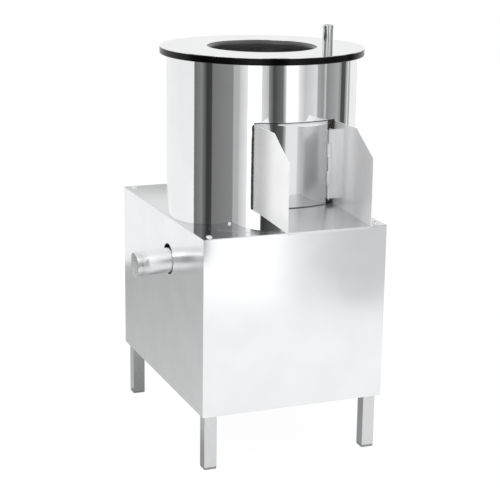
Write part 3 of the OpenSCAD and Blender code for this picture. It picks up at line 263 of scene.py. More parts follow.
# Two dark flags stand close in front of the chute's left cheek. The door mirrors them by way of the right
# cheek.
flag_y = -0.59
for name, left, right, foot, head, tones in (
    ("high_flag", -0.33, -0.205, 0.412, 0.57, ("202020", "303030")),
    ("low_flag", -0.205, -0.06, 0.33, 0.57, ("303030", "585858")),
):
    flag = [(x, flag_y, z) for x in (left, right) for z in (foot, head)]
    show_in_gloss(name, flag, [(0, 2, 3, 1)], tones)


# The four legs: one inch square tube of stainless steel with a 1.6 mm wall, cut to length, polished along
# the tube and welded to the rails. Its corners are rolled, so the long edges are round and catch a line of
# light.
nodes = frame["nodes"]
record = frame["record"]
body_of = {name: body for body, members in record["behaviour"]["bodies"].items() for name in members}
same_spot = 2e-6
flat_turn = math.radians(1)
sharp_turn = math.radians(32)


def merged(name):
    """A CAD piece's mesh, with its loose triangles joined where their corners meet."""
    shape = bmesh.new()
    shape.from_mesh(nodes[name].data)
    bmesh.ops.remove_doubles(shape, verts=shape.verts, dist=same_spot)
    return shape


def bake(piece):
    """The piece as a plain mesh of the same name, with its modifiers applied."""
    ready = piece.evaluated_get(bpy.context.evaluated_depsgraph_get())
    mesh = bpy.data.meshes.new_from_object(ready)
    plain = bpy.data.objects.new(piece.name, mesh)
    bpy.data.objects.remove(piece)
    plain.name = plain.name.split(".")[0]
    scene.collection.objects.link(plain)
    return plain


def round_wall(mesh, face, own, axis):
    """A cylinder's normals at the corners of a face that is part of a wall round the upright axis. Such a
    face is upright, its corners are equally far from the axis, and it faces it. For any other face there
    are none."""
    lean, uneven, square_on = 0.02, 0.00002, 0.98
    if not axis or abs(own.z) >= lean:
        return []
    corners = [mesh.vertices[vert].co for vert in face.vertices]
    spokes = [Vector((corner.x - axis[0], corner.y - axis[1], 0)) for corner in corners]
    lengths = [spoke.length for spoke in spokes]
    facing = [spoke.normalized().dot(own) for spoke in spokes]
    if max(lengths) - min(lengths) > uneven or min(abs(f) for f in facing) < square_on:
        return []
    side = 1 if facing[0] > 0 else -1
    return [spoke.normalized() * side for spoke in spokes]


def even_normals(mesh, axis):
    """Sets the normals of each face's corners: flat on flat faces, and smooth over edges that turn by less
    than sharp_turn, where the larger faces weigh more. The walls round the axis get the cylinder's own
    normals."""
    near = math.cos(sharp_turn)
    normals = [face.normal.copy() for face in mesh.polygons]
    areas = [face.area for face in mesh.polygons]
    faces_at = [[] for _ in mesh.vertices]
    for face in mesh.polygons:
        for vert in face.vertices:
            faces_at[vert].append(face.index)
    corners = []
    for face in mesh.polygons:
        own = normals[face.index]
        wall = round_wall(mesh, face, own, axis)
        if wall:
            corners.extend(wall)
            continue
        for vert in face.vertices:
            total = Vector()
            for other in faces_at[vert]:
                if normals[other].dot(own) > near:
                    total += normals[other] * areas[other]
            corners.append(total.normalized() if total.length else own)
    mesh.normals_split_custom_set(corners)


def place(piece, name):
    """Makes a piece ride with the body of the CAD piece named, and hides that CAD piece, for which it stands.
    """
    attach(piece, body_of[name])
    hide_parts(name)


def dress(name, finish, ease=0.0003, segments=2, axis=None):
    """A copy of a CAD piece in the given finish, with its flat faces whole, its edges eased and its curves
    smooth. Walls that stand round the upright axis given are shaded as true cylinders."""
    shape = merged(name)
    bmesh.ops.dissolve_limit(shape, angle_limit=flat_turn, verts=shape.verts, edges=shape.edges)
    mesh = bpy.data.meshes.new(name)
    shape.to_mesh(mesh)
    shape.free()
    mesh.shade_smooth()
    piece = bpy.data.objects.new(name + "_dressed", mesh)
    scene.collection.objects.link(piece)
    if ease:
        bevel = piece.modifiers.new("eased_edges", "BEVEL")
        bevel.width = ease
        bevel.segments = segments
        bevel.limit_method = "ANGLE"
        bevel.angle_limit = sharp_turn
        piece = bake(piece)
    even_normals(piece.data, axis)
    piece.data.materials.clear()
    piece.data.materials.append(finish)
    place(piece, name)
    return piece


def streaks(tree, where, run, width_mm):
    """Noise that is width_mm wide, and many times as long along the axis that it runs on."""
    times_as_long = 60
    scale = [1000 / width_mm / (times_as_long if axis == run else 1) for axis in "XYZ"]
    spots = add(tree, "ShaderNodeMapping", {"Vector": where.outputs["Object"], "Scale": scale})
    return add(tree, "ShaderNodeTexNoise", {"Vector": spots.outputs[0], "Scale": 1.0, "Detail": 2.0})


def stainless(name, colour, rough, spread, line_mm, run, metallic=1.0, wave_mm=0, wave_deep_mm=0):
    """Stainless steel with polishing lines line_mm wide that run along one axis, and faint clouds over
    them. Real lines are finer: these are as coarse as they need to be to show. The lines and the clouds
    change how rough it is, from rough - spread to rough + spread. A brushed finish scatters some light
    evenly, which a lower metallic value gives. Rolled sheet has shallow waves along the same axis."""
    cloud_mm, cloud_light = 70, 1.04
    noise_low, noise_high = 0.35, 0.65
    material = blank(name)
    tree = material.node_tree
    where = add(tree, "ShaderNodeTexCoord")
    lines = streaks(tree, where, run, line_mm)
    clouds = add(
        tree, "ShaderNodeTexNoise", {"Vector": where.outputs["Object"], "Scale": 1000 / cloud_mm, "Detail": 3.0}
    )
    both = add(tree, "ShaderNodeMath", {0: lines.outputs["Fac"], 1: clouds.outputs["Fac"]}, operation="ADD")
    roughness = add(
        tree, "ShaderNodeMapRange",
        {"Value": both.outputs[0], "From Min": 2 * noise_low, "From Max": 2 * noise_high,
         "To Min": rough - spread, "To Max": rough + spread},
    )
    dull = srgb(colour)
    bright = [min(1.0, c * cloud_light) for c in dull[:3]] + [1.0]
    tint = add(tree, "ShaderNodeValToRGB", {"Fac": clouds.outputs["Fac"]})
    tint.color_ramp.elements[0].position = noise_low
    tint.color_ramp.elements[0].color = dull
    tint.color_ramp.elements[1].position = noise_high
    tint.color_ramp.elements[1].color = bright
    metal = add(
        tree, "ShaderNodeBsdfPrincipled",
        {"Base Color": tint.outputs["Color"], "Metallic": metallic, "Roughness": roughness.outputs["Result"]},
    )
    if wave_mm:
        waves = streaks(tree, where, run, wave_mm)
        bump = add(
            tree, "ShaderNodeBump",
            {"Height": waves.outputs["Fac"], "Strength": 1.0, "Distance": wave_deep_mm / 1000},
        )
        tree.links.new(bump.outputs["Normal"], metal.inputs["Normal"])
    add(tree, "ShaderNodeOutputMaterial", {"Surface": metal.outputs["BSDF"]})
    return material


# Stainless tube as drawn and belt polished: a soft mirror with lines along its length.
leg_steel = stainless("belt_polished_tube", "DADBDC", 0.24, 0.06, 0.4, "Z")
for corner in ("front_left", "front_right", "rear_left", "rear_right"):
    dress("leg_" + corner, leg_steel, ease=0.0014, segments=3)


# The foot plugs: grey polyamide, moulded, pushed into the legs and standing on the floor, each with a hole
# for a levelling foot. The plugs in the legs' tops are steel, plated with zinc, and take the corner screws.
def plain_surface(name, colour, rough, spread, grain_mm, depth_mm, metallic=0.0):
    """A painted, moulded or plated surface with a grain, grain_mm wide and depth_mm deep, that is darker
    and smoother in its hollows. Real grain is finer: this is as coarse as it needs to be to show."""
    hollow_dark = 0.86
    noise_low, noise_high = 0.3, 0.7
    material = blank(name)
    tree = material.node_tree
    where = add(tree, "ShaderNodeTexCoord")
    grain = add(
        tree, "ShaderNodeTexNoise", {"Vector": where.outputs["Object"], "Scale": 1000 / grain_mm, "Detail": 3.0}
    )
    roughness = add(
        tree, "ShaderNodeMapRange",
        {"Value": grain.outputs["Fac"], "From Min": noise_low, "From Max": noise_high,
         "To Min": rough - spread, "To Max": rough + spread},
    )
    bump = add(
        tree, "ShaderNodeBump", {"Height": grain.outputs["Fac"], "Strength": 1.0, "Distance": depth_mm / 1000}
    )
    bright = srgb(colour)
    dark = [c * hollow_dark for c in bright[:3]] + [1.0]
    tint = add(tree, "ShaderNodeValToRGB", {"Fac": grain.outputs["Fac"]})
    tint.color_ramp.elements[0].position = noise_low
    tint.color_ramp.elements[0].color = dark
    tint.color_ramp.elements[1].position = noise_high
    tint.color_ramp.elements[1].color = bright
    surface = add(
        tree, "ShaderNodeBsdfPrincipled",
        {"Base Color": tint.outputs["Color"], "Metallic": metallic, "Roughness": roughness.outputs["Result"],
         "Normal": bump.outputs["Normal"]},
    )
    add(tree, "ShaderNodeOutputMaterial", {"Surface": surface.outputs["BSDF"]})
    return material


# Moulded polyamide is an even, half matt grey. Zinc plating shines softly, and not evenly.
grey_nylon = plain_surface("moulded_grey_nylon", "9A9C9C", 0.45, 0.08, 1.2, 0.02)
zinc = plain_surface("zinc_plated_steel", "BFC1C0", 0.34, 0.10, 6.0, 0.01, metallic=1.0)
dress("foot_plugs", grey_nylon, ease=0.0004)
dress("leg_top_plugs", zinc)


# The rails: the same square tube, cut square and welded between the legs, four under the top plate and four
# under the drive deck. Only the lower four show, from under the machine. They are belt polished like the
# legs, and a little duller.
rail_steel = stainless("belt_polished_rail", "D2D3D4", 0.30, 0.06, 0.4, "X")
dress("upper_rails", rail_steel)
dress("lower_rails", rail_steel)


# The casing's front and sides: 1.2 mm stainless sheet, folded in at its top and bottom edges. Its bright
# annealed finish mirrors the floor in front of it softly, as cold rolled sheet does.
panel_sheet = 0.0012
panel_steel = stainless("bright_annealed_sheet", "F2F3F4", 0.16, 0.015, 1.5, "Z")
for side in ("front", "left", "right"):
    dress(side + "_panel", panel_steel, ease=0.0005, segments=3)


# The back panel: the same sheet, with two columns of pressed louvres that let the motor's warm air out.
# Each louvre is a quarter round hood, open at its top.
dress("back_panel", panel_steel)


# The back panel's screws: stainless, with a low dome and a cross recess, turned into the rear legs. The
# screws of the top plate are made in the same way.
def screw_tree():
    """The node tree that sets a dome head with a cross recess on each seat, facing along the seat's turn.
    The dome is the cap of a ball, and two bars across its top cut the recess."""
    bar_long, bar_wide, bar_high = 0.48, 0.11, 1.1
    tree = bpy.data.node_groups.new("dome_screw_heads", "GeometryNodeTree")
    tree.interface.new_socket("Seats", in_out="INPUT", socket_type="NodeSocketGeometry")
    for name, value in (("Diameter", 0.013), ("Height", 0.004)):
        tree.interface.new_socket(name, in_out="INPUT", socket_type="NodeSocketFloat").default_value = value
    tree.interface.new_socket("Turn", in_out="INPUT", socket_type="NodeSocketVector")
    tree.interface.new_socket("Finish", in_out="INPUT", socket_type="NodeSocketMaterial")
    tree.interface.new_socket("Heads", in_out="OUTPUT", socket_type="NodeSocketGeometry")
    given = add(tree, "NodeGroupInput").outputs
    radius = add(tree, "ShaderNodeMath", {0: given["Diameter"], 1: 0.5}, operation="MULTIPLY").outputs[0]
    square = add(tree, "ShaderNodeMath", {0: radius, 1: 2.0}, operation="POWER").outputs[0]
    ratio = add(tree, "ShaderNodeMath", {0: square, 1: given["Height"]}, operation="DIVIDE").outputs[0]
    twice = add(tree, "ShaderNodeMath", {0: ratio, 1: given["Height"]}, operation="ADD").outputs[0]
    ball_r = add(tree, "ShaderNodeMath", {0: twice, 1: 0.5}, operation="MULTIPLY").outputs[0]
    down = add(tree, "ShaderNodeMath", {0: given["Height"], 1: ball_r}, operation="SUBTRACT").outputs[0]
    lower = add(tree, "ShaderNodeCombineXYZ", {"Z": down}).outputs[0]
    ball = add(tree, "GeometryNodeMeshUVSphere", {"Segments": 32, "Rings": 24, "Radius": ball_r})
    sunk = add(tree, "GeometryNodeTransform", {"Geometry": ball.outputs["Mesh"], "Translation": lower})
    barrel = add(
        tree, "GeometryNodeMeshCylinder", {"Vertices": 32, "Radius": radius, "Depth": given["Diameter"]}
    )
    half = add(tree, "ShaderNodeCombineXYZ", {"Z": radius}).outputs[0]
    raised = add(tree, "GeometryNodeTransform", {"Geometry": barrel.outputs["Mesh"], "Translation": half})
    dome = add(tree, "GeometryNodeMeshBoolean", {"Mesh 2": sunk.outputs["Geometry"]}, operation="INTERSECT")
    tree.links.new(raised.outputs["Geometry"], dome.inputs["Mesh 2"])
    long = add(tree, "ShaderNodeMath", {0: given["Diameter"], 1: bar_long}, operation="MULTIPLY").outputs[0]
    wide = add(tree, "ShaderNodeMath", {0: given["Diameter"], 1: bar_wide}, operation="MULTIPLY").outputs[0]
    high = add(tree, "ShaderNodeMath", {0: given["Height"], 1: bar_high}, operation="MULTIPLY").outputs[0]
    top = add(tree, "ShaderNodeCombineXYZ", {"Z": given["Height"]}).outputs[0]
    recess = add(tree, "GeometryNodeMeshBoolean", {"Mesh 1": dome.outputs["Mesh"]}, operation="DIFFERENCE")
    for across, along in ((long, wide), (wide, long)):
        size = add(tree, "ShaderNodeCombineXYZ", {"X": across, "Y": along, "Z": high}).outputs[0]
        bar = add(tree, "GeometryNodeMeshCube", {"Size": size})
        raised_bar = add(tree, "GeometryNodeTransform", {"Geometry": bar.outputs["Mesh"], "Translation": top})
        tree.links.new(raised_bar.outputs["Geometry"], recess.inputs["Mesh 2"])
    turn = add(tree, "FunctionNodeEulerToRotation", {"Euler": given["Turn"]}).outputs[0]
    heads = add(
        tree, "GeometryNodeInstanceOnPoints",
        {"Points": given["Seats"], "Instance": recess.outputs["Mesh"], "Rotation": turn},
    )
    real = add(tree, "GeometryNodeRealizeInstances", {"Geometry": heads.outputs["Instances"]})
    coated = add(
        tree, "GeometryNodeSetMaterial", {"Geometry": real.outputs["Geometry"], "Material": given["Finish"]}
    )
    add(tree, "NodeGroupOutput", {"Heads": coated.outputs["Geometry"]})
    return tree


def grow(tree, name, points, **values):
    """The mesh that a node tree makes from the points given, as a plain object."""
    seed_mesh = bpy.data.meshes.new(name)
    seed_mesh.from_pydata(points, [], [])
    piece = bpy.data.objects.new(name, seed_mesh)
    scene.collection.objects.link(piece)
    modifier = piece.modifiers.new("nodes", "NODES")
    modifier.node_group = tree
    for socket in tree.interface.items_tree:
        if socket.in_out == "INPUT" and socket.name in values:
            modifier[socket.identifier] = values[socket.name]
    return bake(piece)


def seats_of(name, axis, at):
    """The middles of a CAD piece's separate solids, moved to one plane across the given axis."""
    shape = merged(name)
    left = set(shape.verts)
    seats = []
    while left:
        solid, found = set(), [left.pop()]
        while found:
            vert = found.pop()
            solid.add(vert)
            fresh = {edge.other_vert(vert) for edge in vert.link_edges} & left
            left -= fresh
            found.extend(fresh)
        low = [min(vert.co[i] for vert in solid) for i in range(3)]
        high = [max(vert.co[i] for vert in solid) for i in range(3)]
        seat = [(a + b) / 2 for a, b in zip(low, high)]
        seat[axis] = at
        seats.append(tuple(seat))
    shape.free()
    return sorted(seats)


# Turned stainless: bright, with fine lines from the lathe.
dome_steel = stainless("turned_stainless_screw", "E2E3E4", 0.14, 0.04, 0.3, "Z")
screw_heads = screw_tree()
head_edge_turn = math.radians(30)


def set_screws(name, head_name, axis, at, **values):
    """Sets a head on each screw of a CAD piece, in one plane across the given axis."""
    heads = grow(screw_heads, head_name, seats_of(name, axis, at), Finish=dome_steel, **values)
    heads.data.shade_smooth()
    heads.data.set_sharp_from_angle(angle=head_edge_turn)
    place(heads, name)


back_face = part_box("left_panel")[1][1] + panel_sheet
set_screws(
    "back_panel_screws", "back_panel_screw_heads", 1, back_face,
    Diameter=0.009, Height=0.003, Turn=(math.radians(-90), 0, 0),
)


# The top plate: 1.5 mm stainless, polished to a soft mirror, lying on the panels' folds, with the drum
# bolted down on it. Its four corner screws have high domes and go into the legs' tops.
plate_steel = stainless("polished_top_sheet", "D3D4D5", 0.10, 0.02, 1.2, "X")
dress("top_plate", plate_steel)
plate_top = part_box("top_plate")[1][2]
set_screws(
    "top_plate_screws", "top_plate_screw_heads", 2, plate_top,
    Diameter=0.013, Height=0.004, Turn=(0, 0, math.radians(25)),
)


# The drum: stainless sheet rolled to a cylinder, welded, and polished to a mirror, with its rim turned in.
# The outlet is cut from its front. Shallow waves left by the rolling make what it mirrors waver.
mirror_steel = stainless(
    "mirror_polished_stainless", "F2F3F4", 0.055, 0.02, 0.8, "Z", wave_mm=14, wave_deep_mm=0.05
)
drum_axis = (drum_x, drum_y)
drum_r = (drum_high[0] - drum_low[0]) / 2
dress("drum_shell", mirror_steel, axis=drum_axis)
dress("drum_bolts", zinc)


# The lining: silicon carbide grit bonded to a rubber sheet, stuck inside the drum. The grains are about 2
# mm wide, dark and sharp, and a few of them glint.
def abrasive(name, grain_mm, dark, light):
    """Bonded grit: angular grains of two tones, some dull and some glinting, that stand out of the bond."""
    dull, glinting = 0.95, 0.35
    width_to_height = 2.5
    material = blank(name)
    tree = material.node_tree
    where = add(tree, "ShaderNodeTexCoord")
    grains = add(tree, "ShaderNodeTexVoronoi", {"Vector": where.outputs["Object"], "Scale": 1000 / grain_mm})
    tone = add(tree, "ShaderNodeSeparateColor", {"Color": grains.outputs["Color"]})
    tint = add(tree, "ShaderNodeValToRGB", {"Fac": tone.outputs["Red"]})
    tint.color_ramp.elements[0].color = srgb(dark)
    tint.color_ramp.elements[1].color = srgb(light)
    height = add(tree, "ShaderNodeMath", {0: 1.0, 1: grains.outputs["Distance"]}, operation="SUBTRACT")
    bump = add(
        tree, "ShaderNodeBump",
        {"Height": height.outputs[0], "Strength": 1.0, "Distance": grain_mm / (1000 * width_to_height)},
    )
    roughness = add(
        tree, "ShaderNodeMapRange",
        {"Value": tone.outputs["Green"], "From Min": 0.0, "From Max": 1.0, "To Min": dull, "To Max": glinting},
    )
    surface = add(
        tree, "ShaderNodeBsdfPrincipled",
        {"Base Color": tint.outputs["Color"], "Roughness": roughness.outputs["Result"],
         "Normal": bump.outputs["Normal"]},
    )
    add(tree, "ShaderNodeOutputMaterial", {"Surface": surface.outputs["BSDF"]})
    return material


lining_grit = abrasive("bonded_grit_lining", 2.2, "525150", "B3B1AD")
dress("drum_lining", lining_grit, ease=0)


# The catch pan and the drain pipe: stainless, spun and welded. The pipe is 50 mm tube with a thread cut on
# its open end, for a waste hose; the thread's crests stand level with the tube. Spinning leaves the pan
# satin and a little grey.
pan_steel = stainless("spun_stainless_pan", "C9CACB", 0.32, 0.06, 0.8, "Z")
dress("catch_pan", pan_steel)


def lathe(name, outline, finish, steps=128):
    """A closed outline of (radius, height) pairs, turned about the Z axis."""
    shape = bmesh.new()
    rings = []
    for step in range(steps):
        angle = 2 * math.pi * step / steps
        rings.append([shape.verts.new((r * math.cos(angle), r * math.sin(angle), h)) for r, h in outline])
    for step in range(steps):
        here, there = rings[step], rings[(step + 1) % steps]
        for i in range(len(outline)):
            j = (i + 1) % len(outline)
            shape.faces.new((here[i], there[i], there[j], here[j]))
    bmesh.ops.recalc_face_normals(shape, faces=shape.faces)
    mesh = bpy.data.meshes.new(name)
    shape.to_mesh(mesh)
    shape.free()
    mesh.materials.append(finish)
    mesh.shade_smooth()
    mesh.set_sharp_from_angle(angle=sharp_turn)
    piece = bpy.data.objects.new(name, mesh)
    scene.collection.objects.link(piece)
    return piece


def thread_tree():
    """The node tree of a screw thread: a ridge that winds round the Z axis."""
    tree = bpy.data.node_groups.new("pipe_thread", "GeometryNodeTree")
    tree.interface.new_socket("Start", in_out="INPUT", socket_type="NodeSocketGeometry")
    for name, value in (("Radius", 0.025), ("Pitch", 0.0023), ("Turns", 10.0), ("Ridge", 0.0008)):
        tree.interface.new_socket(name, in_out="INPUT", socket_type="NodeSocketFloat").default_value = value
    tree.interface.new_socket("Finish", in_out="INPUT", socket_type="NodeSocketMaterial")
    tree.interface.new_socket("Thread", in_out="OUTPUT", socket_type="NodeSocketGeometry")
    given = add(tree, "NodeGroupInput").outputs
    length = add(tree, "ShaderNodeMath", {0: given["Pitch"], 1: given["Turns"]}, operation="MULTIPLY")
    path = add(
        tree, "GeometryNodeCurveSpiral",
        {"Resolution": 96, "Rotations": given["Turns"], "Start Radius": given["Radius"],
         "End Radius": given["Radius"], "Height": length.outputs[0]},
    )
    ridge = add(tree, "GeometryNodeCurvePrimitiveCircle", {"Resolution": 6, "Radius": given["Ridge"]})
    swept = add(
        tree, "GeometryNodeCurveToMesh",
        {"Curve": path.outputs["Curve"], "Profile Curve": ridge.outputs["Curve"], "Fill Caps": True},
    )
    real = add(tree, "GeometryNodeRealizeInstances", {"Geometry": swept.outputs["Mesh"]})
    coated = add(
        tree, "GeometryNodeSetMaterial", {"Geometry": real.outputs["Geometry"], "Material": given["Finish"]}
    )
    add(tree, "NodeGroupOutput", {"Thread": coated.outputs["Geometry"]})
    return tree


def join(name, *pieces):
    """One object with the meshes of all the pieces, which are removed, in the first one's finish."""
    whole = bmesh.new()
    finish = pieces[0].data.materials[0]
    for piece in pieces:
        whole.from_mesh(piece.data)
        bpy.data.objects.remove(piece)
    mesh = bpy.data.meshes.new(name)
    whole.to_mesh(mesh)
    whole.free()
    mesh.materials.append(finish)
    joined = bpy.data.objects.new(name, mesh)
    scene.collection.objects.link(joined)
    return joined


# The tube is satin outside, with faint lines along it. Its bore is painted pale and dull: painted light, for
# the outside light that the bore mirrors near its open end.
pipe_steel = stainless("satin_drain_tube", "E8E9EA", 0.33, 0.03, 0.5, "X")
bore_painted_light = plain_surface("bore_pale_as_painted_light", "E2E3E2", 0.55, 0.05, 2.0, 0.02)
mounts = {mount["name"]: mount for mount in record["mounts"]}
drain = mounts["drain_bore"]
drain_l = drain["dims"]["length_mm"] / 1000
drain_in = drain["dims"]["r_mm"] / 1000
drain_wall = 0.0015
drain_out = drain_in + drain_wall
thread_l = 0.026
thread_pitch = 0.0023
thread_turns = 10.0
thread_start = 0.0014
thread_ridge = 0.0007
thread_edge_turn = math.radians(40)
core = drain_out - thread_ridge
core_taper = 0.001
chamfer = 0.0004
pipe = lathe(
    "drain_tube",
    [
        (drain_in, -drain_l / 2),
        (drain_out, -drain_l / 2),
        (drain_out, drain_l / 2 - thread_l),
        (core, drain_l / 2 - thread_l + core_taper),
        (core, drain_l / 2 - chamfer),
        (core - chamfer, drain_l / 2),
        (drain_in + chamfer, drain_l / 2),
        (drain_in, drain_l / 2 - chamfer),
    ],
    pipe_steel,
)
thread = grow(
    thread_tree(), "drain_thread", [(0, 0, 0)],
    Radius=core, Pitch=thread_pitch, Turns=thread_turns, Ridge=thread_ridge, Finish=pipe_steel,
)
thread.data.transform(Matrix.Translation((0, 0, drain_l / 2 - thread_l + thread_start)))
thread.data.shade_smooth()
pipe = join("drain_pipe_threaded", pipe, thread)
# The bore's faces take the pale colour, painted light for what the bore mirrors near its mouth.
pipe.data.materials.append(bore_painted_light)
for face in pipe.data.polygons:
    if face.center.xy.length < drain_in:
        face.material_index = 1

# The open end is the left one, whichever way the bore's axis is given.
drain_way = Vector(drain["axis"])
if drain_way.x > 0:
    drain_way = -drain_way
drain_turn = drain_way.to_track_quat("Z", "Y").to_matrix().to_4x4()
pipe.data.transform(Matrix.Translation(Vector(drain["pos_m"])) @ drain_turn)
pipe.data.set_sharp_from_angle(angle=thread_edge_turn)
place(pipe, "drain_pipe")


# The drive deck and what stands on it: 6 mm steel plate and bolts, plated with zinc, and a cast iron
# bearing housing in grey primer, with shielded ball bearings and a rubber lip seal in it. Primed iron is
# dull and coarse from its mould, turned steel is bright with fine lines, and rubber is matt black.
iron = plain_surface("primed_cast_iron", "5F6366", 0.62, 0.08, 1.6, 0.12)
turned_steel = stainless("turned_steel", "C4C4C5", 0.22, 0.05, 0.3, "X")
rubber = plain_surface("black_rubber", "121212", 0.75, 0.08, 0.8, 0.03)
dress("drive_deck", zinc)
dress("deck_bolts", zinc)
dress("bearing_housing", iron, ease=0.0008)
dress("housing_bolts", zinc)
dress("lower_bearing", turned_steel)
dress("upper_bearing", turned_steel)
dress("shaft_seal", rubber)


# The drive shaft and its pulley: a shaft of turned steel, which runs in the bearings and carries the disc
# on its nose, and a cast iron pulley keyed on its lower end.
dress("drive_shaft", turned_steel)
dress("pulley_key", zinc, ease=0)
dress("driven_pulley", iron, ease=0.0006)


# The peeling disc: cast aluminium with three waves, coated with grit, under a dome nut on the shaft's nose.
# Two stainless blades under it sweep the peel to the drain. Its grit is darker and a little coarser than
# the lining's.
disc_grit = abrasive("bonded_grit_disc", 2.6, "3A3938", "908E8A")
dress("peeling_disc", disc_grit, ease=0.0012)
dress("sweeper_blades", pan_steel)
dress("disc_nut", turned_steel)


# The motor: an aluminium frame with cooling fins in grey blue enamel, with a fan of black nylon under a
# sheet cowl and a terminal box on its side. It is bolted through slots, so that it can be slid to tighten
# the belt. The enamel has a soft gloss. Moulded nylon is half matt, with a fine grain.
enamel = plain_surface("motor_enamel", "566069", 0.38, 0.06, 2.5, 0.03)
black_nylon = plain_surface("moulded_black_nylon", "161616", 0.45, 0.08, 1.2, 0.02)
for name in ("motor_flange", "motor_body", "motor_fan_cowl"):
    dress(name, enamel)
dress("motor_fan", black_nylon)
dress("terminal_box", black_nylon, ease=0.001)
dress("motor_bolts", zinc)
dress("motor_shaft", turned_steel)
dress("motor_pulley", iron, ease=0.0004)


# The belt: a wedge belt of rubber, tight between the two pulleys, which turns the disc at about a third of
# the motor's speed. Its woven cover is matt, with a fine grain.
belt_cover = plain_surface("fabric_covered_rubber", "1B1B1C", 0.85, 0.06, 0.9, 0.06)
dress("drive_belt", belt_cover, ease=0)


# The chute: two cheeks and a falling floor of 1.5 mm stainless, welded to the drum's front on both sides of
# the outlet. Each cheek's upper front corner is cut off. The cheeks are brushed so bright that they mirror
# little, and the floor is a little darker.
cheek_steel = stainless("brushed_cheek_sheet", "FAFAFB", 0.18, 0.006, 0.6, "Y", metallic=0.42)
floor_steel = stainless("brushed_chute_floor", "DEDFE0", 0.26, 0.01, 0.6, "Y", metallic=0.85)
dress("left_cheek", cheek_steel)
dress("right_cheek", cheek_steel)
dress("chute_floor", floor_steel)


# The welds that hold the cheeks: one run of beads up the outside of each, where it meets the drum, left as
# welded. Their dark colour is painted shade, for the shadow in the joint between cheek and drum.
def bead_tree():
    """The node tree of a weld: a flattened bead on each point, none quite like its neighbour."""
    tree = bpy.data.node_groups.new("weld_beads", "GeometryNodeTree")
    tree.interface.new_socket("Spots", in_out="INPUT", socket_type="NodeSocketGeometry")
    for name, value in (("Width", 0.005), ("Length", 0.006)):
        tree.interface.new_socket(name, in_out="INPUT", socket_type="NodeSocketFloat").default_value = value
    tree.interface.new_socket("Finish", in_out="INPUT", socket_type="NodeSocketMaterial")
    tree.interface.new_socket("Beads", in_out="OUTPUT", socket_type="NodeSocketGeometry")
    given = add(tree, "NodeGroupInput").outputs
    drop = add(tree, "GeometryNodeMeshIcoSphere", {"Radius": 0.5, "Subdivisions": 3})
    size = add(tree, "ShaderNodeCombineXYZ", {"X": given["Width"], "Y": given["Width"], "Z": given["Length"]})
    uneven = add(tree, "FunctionNodeRandomValue", {"Min": 0.82, "Max": 1.18, "Seed": 7}, data_type="FLOAT")
    scale = add(tree, "ShaderNodeVectorMath", {0: size.outputs[0]}, operation="SCALE")
    tree.links.new(uneven.outputs[1], scale.inputs["Scale"])
    drops = add(
        tree, "GeometryNodeInstanceOnPoints",
        {"Points": given["Spots"], "Instance": drop.outputs["Mesh"], "Scale": scale.outputs[0]},
    )
    real = add(tree, "GeometryNodeRealizeInstances", {"Geometry": drops.outputs["Instances"]})
    coated = add(
        tree, "GeometryNodeSetMaterial", {"Geometry": real.outputs["Geometry"], "Material": given["Finish"]}
    )
    add(tree, "NodeGroupOutput", {"Beads": coated.outputs["Geometry"]})
    return tree


# The beads' dark steel is painted shade for the shadowed joint.
weld_painted_shade = stainless("weld_dark_as_painted_shade", "484746", 0.38, 0.08, 0.8, "Z")
weld_beads = bead_tree()
bead_pitch = 0.0026
bead_out = 0.0008
for side, way in (("left", -1), ("right", 1)):
    low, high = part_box(side + "_cheek")
    outside = low[0] if way < 0 else high[0]
    wall_y = drum_y - math.sqrt(drum_r ** 2 - (outside - drum_x) ** 2)
    foot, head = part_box("door_panel")[0][2], high[2] - bead_pitch
    count = int((head - foot) / bead_pitch)
    spots = [(outside + way * bead_out, wall_y - bead_out, foot + i * bead_pitch) for i in range(count + 1)]
    weld = grow(weld_beads, side + "_cheek_weld", spots, Width=0.0052, Length=0.0050, Finish=weld_painted_shade)
    weld.data.shade_smooth()
    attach(weld, body_of[side + "_cheek"])


# The door: a piece of the drum's own wall, polished like it, with a half moon lip welded on as its handle.
# A strip hinge carries it: one leaf behind the door's edge, one on the right cheek, and a pin through the
# knuckles. The lip and the leaves are brushed, so they are pale and mirror little.
door_steel = stainless("mirror_polished_door", "CFD0D1", 0.07, 0.02, 0.8, "Z", wave_mm=14, wave_deep_mm=0.05)
lip_steel = stainless("brushed_lip", "F6F7F8", 0.38, 0.01, 0.6, "X", metallic=0.5)
hinge_steel = stainless("brushed_hinge_strip", "F8F9FA", 0.40, 0.01, 0.5, "Z", metallic=0.35)
door = dress("door_panel", door_steel, axis=drum_axis)
door.data.materials.append(lip_steel)

# The lip is what stands out from the wall, close under the door's top.
lip_depth = 0.0045
lip_stands_out = 0.0005
lip_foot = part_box("door_panel")[1][2] - lip_depth
for face in door.data.polygons:
    off_wall = (face.center.xy - Vector(drum_axis)).length - drum_r
    if face.center.z > lip_foot and off_wall > lip_stands_out:
        face.material_index = 1
dress("door_leaf", hinge_steel, ease=0.0002)
dress("fixed_leaf", hinge_steel, ease=0.0002)
dress("hinge_pin", turned_steel)


# The latch: a turn knob of black nylon outside the door, on a steel spindle through it. The tongue on the
# spindle's other end turns behind the drum's wall and holds the door shut.
dress("latch_knob", black_nylon, ease=0.0012, segments=3)
dress("latch_tongue", turned_steel)


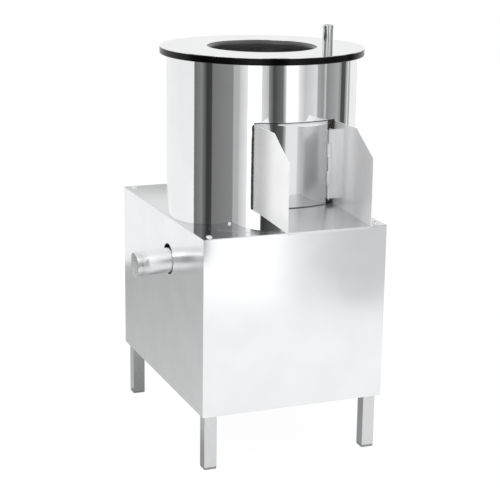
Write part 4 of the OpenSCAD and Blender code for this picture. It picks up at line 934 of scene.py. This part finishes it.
# The lid: a board of black acetal, polished on its rim and left as turned inside the feed hole, faced with
# a ring of mirror stainless. A steel ring under it keeps it centred in the drum. The rim is deep black,
# with a faint sheen where it curves out of sight. Turned acetal is greyer and softer.
rim_black = plain_surface("polished_black_acetal", "020202", 0.20, 0.03, 3.0, 0.004)
rim_surface = rim_black.node_tree.nodes["Principled BSDF"]
rim_surface.inputs["Specular IOR Level"].default_value = 0.15
rim_surface.inputs["Sheen Weight"].default_value = 0.30
rim_surface.inputs["Sheen Roughness"].default_value = 0.15
turned_black = plain_surface("turned_black_acetal", "404040", 0.34, 0.05, 1.0, 0.01)
lid_steel = stainless("polished_lid_ring", "D8D9DA", 0.06, 0.015, 1.0, "X")
board = dress("lid_board", rim_black, ease=0.0004, axis=drum_axis)
board.data.materials.append(turned_black)
round_edge_r = 0.008
hole_r = mounts["feed_opening"]["dims"]["r_mm"] / 1000 + round_edge_r
for face in board.data.polygons:
    if (face.center.xy - Vector(drum_axis)).length < hole_r:
        face.material_index = 1
dress("lid_steel_top", lid_steel, axis=drum_axis)
dress("lid_locating_ring", pan_steel, axis=drum_axis)


# The water inlet: half inch stainless pipe through the lid, with a rolled lip at its top for a hose, and a
# locknut underneath. Its polish leaves fine lines along it.
inlet_steel = stainless("polished_inlet_pipe", "DCDDDE", 0.18, 0.03, 0.4, "Z")
dress("water_inlet_pipe", inlet_steel, axis=mounts["water_inlet_bore"]["pos_m"])
dress("inlet_locknut", inlet_steel)


# The controls on the right side: a starter box moulded in grey ABS, with a green start button and a red
# stop button in polycarbonate, and a black nylon gland at the back for the mains lead. The box is half
# matt, with a fine grain. The buttons are glossier and smoother.
grey_abs = plain_surface("moulded_grey_abs", "9FA2A3", 0.42, 0.06, 1.0, 0.03)
green_cap = plain_surface("green_polycarbonate", "0F7B38", 0.24, 0.04, 1.5, 0.005)
red_cap = plain_surface("red_polycarbonate", "B31A1A", 0.24, 0.04, 1.5, 0.005)
dress("starter_box", grey_abs, ease=0.0012, segments=3)
dress("start_button", green_cap, ease=0.0008, segments=3)
dress("stop_button", red_cap, ease=0.0008, segments=3)
dress("cable_gland", black_nylon, ease=0.0005)


low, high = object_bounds()
